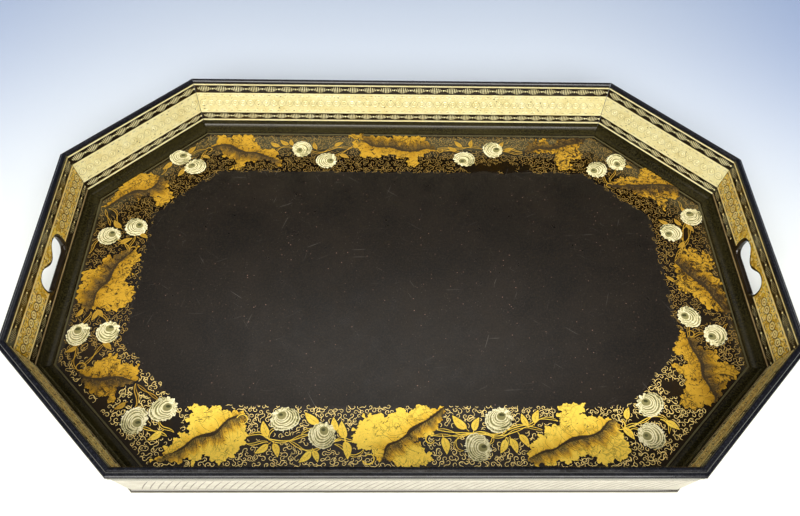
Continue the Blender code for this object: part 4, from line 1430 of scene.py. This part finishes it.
def make_outer_band(side):
    """A cream band on the outside of the gallery, with a rope of slanting strokes on it."""
    surface = wall_surface(side, outside=True)
    rope, ink = Relief(surface), Relief(surface)
    low, high = OUTER_ROPE
    middle = (low + high) / 2
    pierced = side in PIERCED_SIDES
    holes = [handhold_loop(side) * (-1, 1)] if pierced else []
    rope.film(trapezoid(side, low - OUTER_MARGIN, high + OUTER_MARGIN, gap=OUTER_GAP), BAND_HEIGHT,
              holes=holes)
    half = wall_half_length(side, middle) - OUTER_SLANT - OUTER_MARGIN
    for x in evenly(half, OUTER_PITCH):
        if pierced and abs(x + handhold_centre(side)) < HANDHOLD_CLEAR:
            continue
        line = smooth_curve([(x - OUTER_SLANT, low), (x - 0.8, middle), (x + OUTER_SLANT, high)], 4.0)
        swell = np.sin(np.linspace(0.20, math.pi - 0.20, len(line)))
        rope.ribbon(line, 3.2 * swell, 0.12, base=BAND_HEIGHT)
        ink.ribbon(line + (OUTER_PITCH / 2, 0), 1.9 * swell, 0.05, base=BAND_HEIGHT)
    rope.make(f"outer_rope_{side}", MATERIALS["cream"], "gilding")
    ink.make(f"outer_ink_{side}", MATERIALS["grey_line"], "gilding")


def make_gallery():
    rng = random.Random(31)
    for side in SIDES:
        surface = wall_surface(side)
        holes = [handhold_loop(side)] if side in PIERCED_SIDES else []
        make_gilt_band(side, surface, holes, rng)
        make_oval_bands(side, surface, holes, rng)
        make_outer_band(side)


# ----------------------------------------
# Camera, light and the floor it stands on
# ----------------------------------------

def make_camera():
    camera = bpy.data.objects.new("camera", bpy.data.cameras.new("camera"))
    camera.location = (-0.0220, -0.4939, 0.7180)
    camera.rotation_euler = Euler([math.radians(angle) for angle in (36.155, -1.14, -0.448)])
    camera.data.sensor_width = 36
    camera.data.lens = 35.46
    camera.data.clip_start = 0.01
    bpy.context.scene.collection.objects.link(camera)
    bpy.context.scene.camera = camera


def area_light(name, place, target, size, power, colour, mirrored=True):
    light = bpy.data.lights.new(name, "AREA")
    light.shape = "RECTANGLE"
    light.size, light.size_y = size
    light.energy = power
    light.color = colour
    lamp = bpy.data.objects.new(name, light)
    lamp.location = place
    lamp.visible_glossy = mirrored
    lamp.rotation_euler = (Vector(target) - Vector(place)).to_track_quat("-Z", "Y").to_euler()
    bpy.context.scene.collection.objects.link(lamp)


# The studio's colour by the Y of a direction: 0 or less above and before the tray, 1 straight behind it
STUDIO_GLOW = ((0.0, (0.92, 0.73, 0.40)), (0.12, (0.50, 0.45, 0.36)), (0.40, (0.42, 0.41, 0.40)),
               (0.465, (1.50, 1.44, 1.37)), (0.62, (0.01, 0.01, 0.01)))
WARM_WHITE = (1.0, 0.98, 0.93)
NEUTRAL_WHITE = (1.0, 0.98, 0.94)
COOL_WHITE = (0.97, 0.98, 1.0)


def make_studio():
    """The surroundings: dark behind the tray and dim at the sides, which keeps the black floor deep."""
    world = bpy.data.worlds.new("studio")
    bpy.context.scene.world = world
    world.use_nodes = True
    tree = world.node_tree
    place = tree.nodes.new("ShaderNodeTexCoord")
    split = tree.nodes.new("ShaderNodeSeparateXYZ")
    ramp = tree.nodes.new("ShaderNodeValToRGB")
    ramp.color_ramp.interpolation = "EASE"
    while len(ramp.color_ramp.elements) < len(STUDIO_GLOW):
        ramp.color_ramp.elements.new(0.5)
    for element, (at, colour) in zip(ramp.color_ramp.elements, STUDIO_GLOW):
        element.position = at
        element.color = (*colour, 1)
    aside = tree.nodes.new("ShaderNodeMath")
    aside.operation = "ABSOLUTE"
    dim = tree.nodes.new("ShaderNodeMapRange")
    dim.interpolation_type = "SMOOTHSTEP"
    for key, value in (("From Min", 0.04), ("From Max", 0.40), ("To Min", 1.0), ("To Max", 0.08)):
        dim.inputs[key].default_value = value
    background = tree.nodes["Background"]
    tree.links.new(place.outputs["Generated"], split.inputs["Vector"])
    tree.links.new(split.outputs["Y"], ramp.inputs["Fac"])
    tree.links.new(split.outputs["X"], aside.inputs[0])
    tree.links.new(aside.outputs[0], dim.inputs["Value"])
    tree.links.new(ramp.outputs["Color"], background.inputs["Color"])
    tree.links.new(dim.outputs["Result"], background.inputs["Strength"])


def make_lights():
    area_light("front_softbox", (-0.1, -2.2, 1.9), target=(0, 0.1, 0), size=(2.6, 1.2), power=112,
               colour=WARM_WHITE)
    area_light("overhead_softbox", (0, -0.62, 1.35), target=(0, -0.45, 0), size=(1.5, 0.5), power=6.0,
               colour=NEUTRAL_WHITE)
    for name, x, power in (("left_softbox", -2.4, 33), ("right_softbox", 2.4, 35)):
        area_light(name, (x, -0.3, 1.9), target=(0, 0, 0), size=(1.4, 2.0), power=power,
                   colour=COOL_WHITE, mirrored=False)
    bpy.context.scene.view_settings.view_transform = "Standard"


def make_stage():
    """A plain pale floor with a painted fall-off of the studio light: it cools to a soft blue-grey towards
    the back and the sides.
    """
    bpy.ops.mesh.primitive_plane_add(size=8, location=(0, 1.0, CAD_LOW.z))
    floor = bpy.context.object
    floor.name = "studio_floor"
    shader = Shader("pale_floor")
    split = shader.node("ShaderNodeSeparateXYZ", {"Vector": shader.place})

    def rise(axis, start, end):
        """0 up to one place along an axis, and 1 from the other place on."""
        return shader.node("ShaderNodeMapRange", {"Value": split.outputs[axis], "From Min": start,
                                                  "From Max": end},
                           interpolation_type="SMOOTHSTEP").outputs["Result"]

    # Painted fall-off of the light: darker and bluer towards the back and, behind the tray, towards the
    # sides
    colour = shader.ramp(rise("Y", -1.45, -0.25), [(0.0, (0.92, 0.92, 0.80)), (0.45, (0.800, 0.850, 0.885)),
                                                   (1.0, (0.400, 0.495, 0.690))])
    aside = shader.maths("ADD", rise("X", 0.15, 0.85), rise("X", -0.20, -1.00))
    behind = rise("Y", -1.30, -0.55)
    colour = shader.blend(shader.maths("MULTIPLY", aside, behind), colour, (0.230, 0.330, 0.590))
    shader.set(Base_Color=colour, Roughness=0.85)
    floor.data.materials.append(shader.material)


make_camera()
make_studio()
make_lights()
make_stage()
dress_cad_nodes()
make_leaves()
make_roses()
make_stems()
make_tendrils()
make_scrollwork()
make_floor_line()
make_gallery()
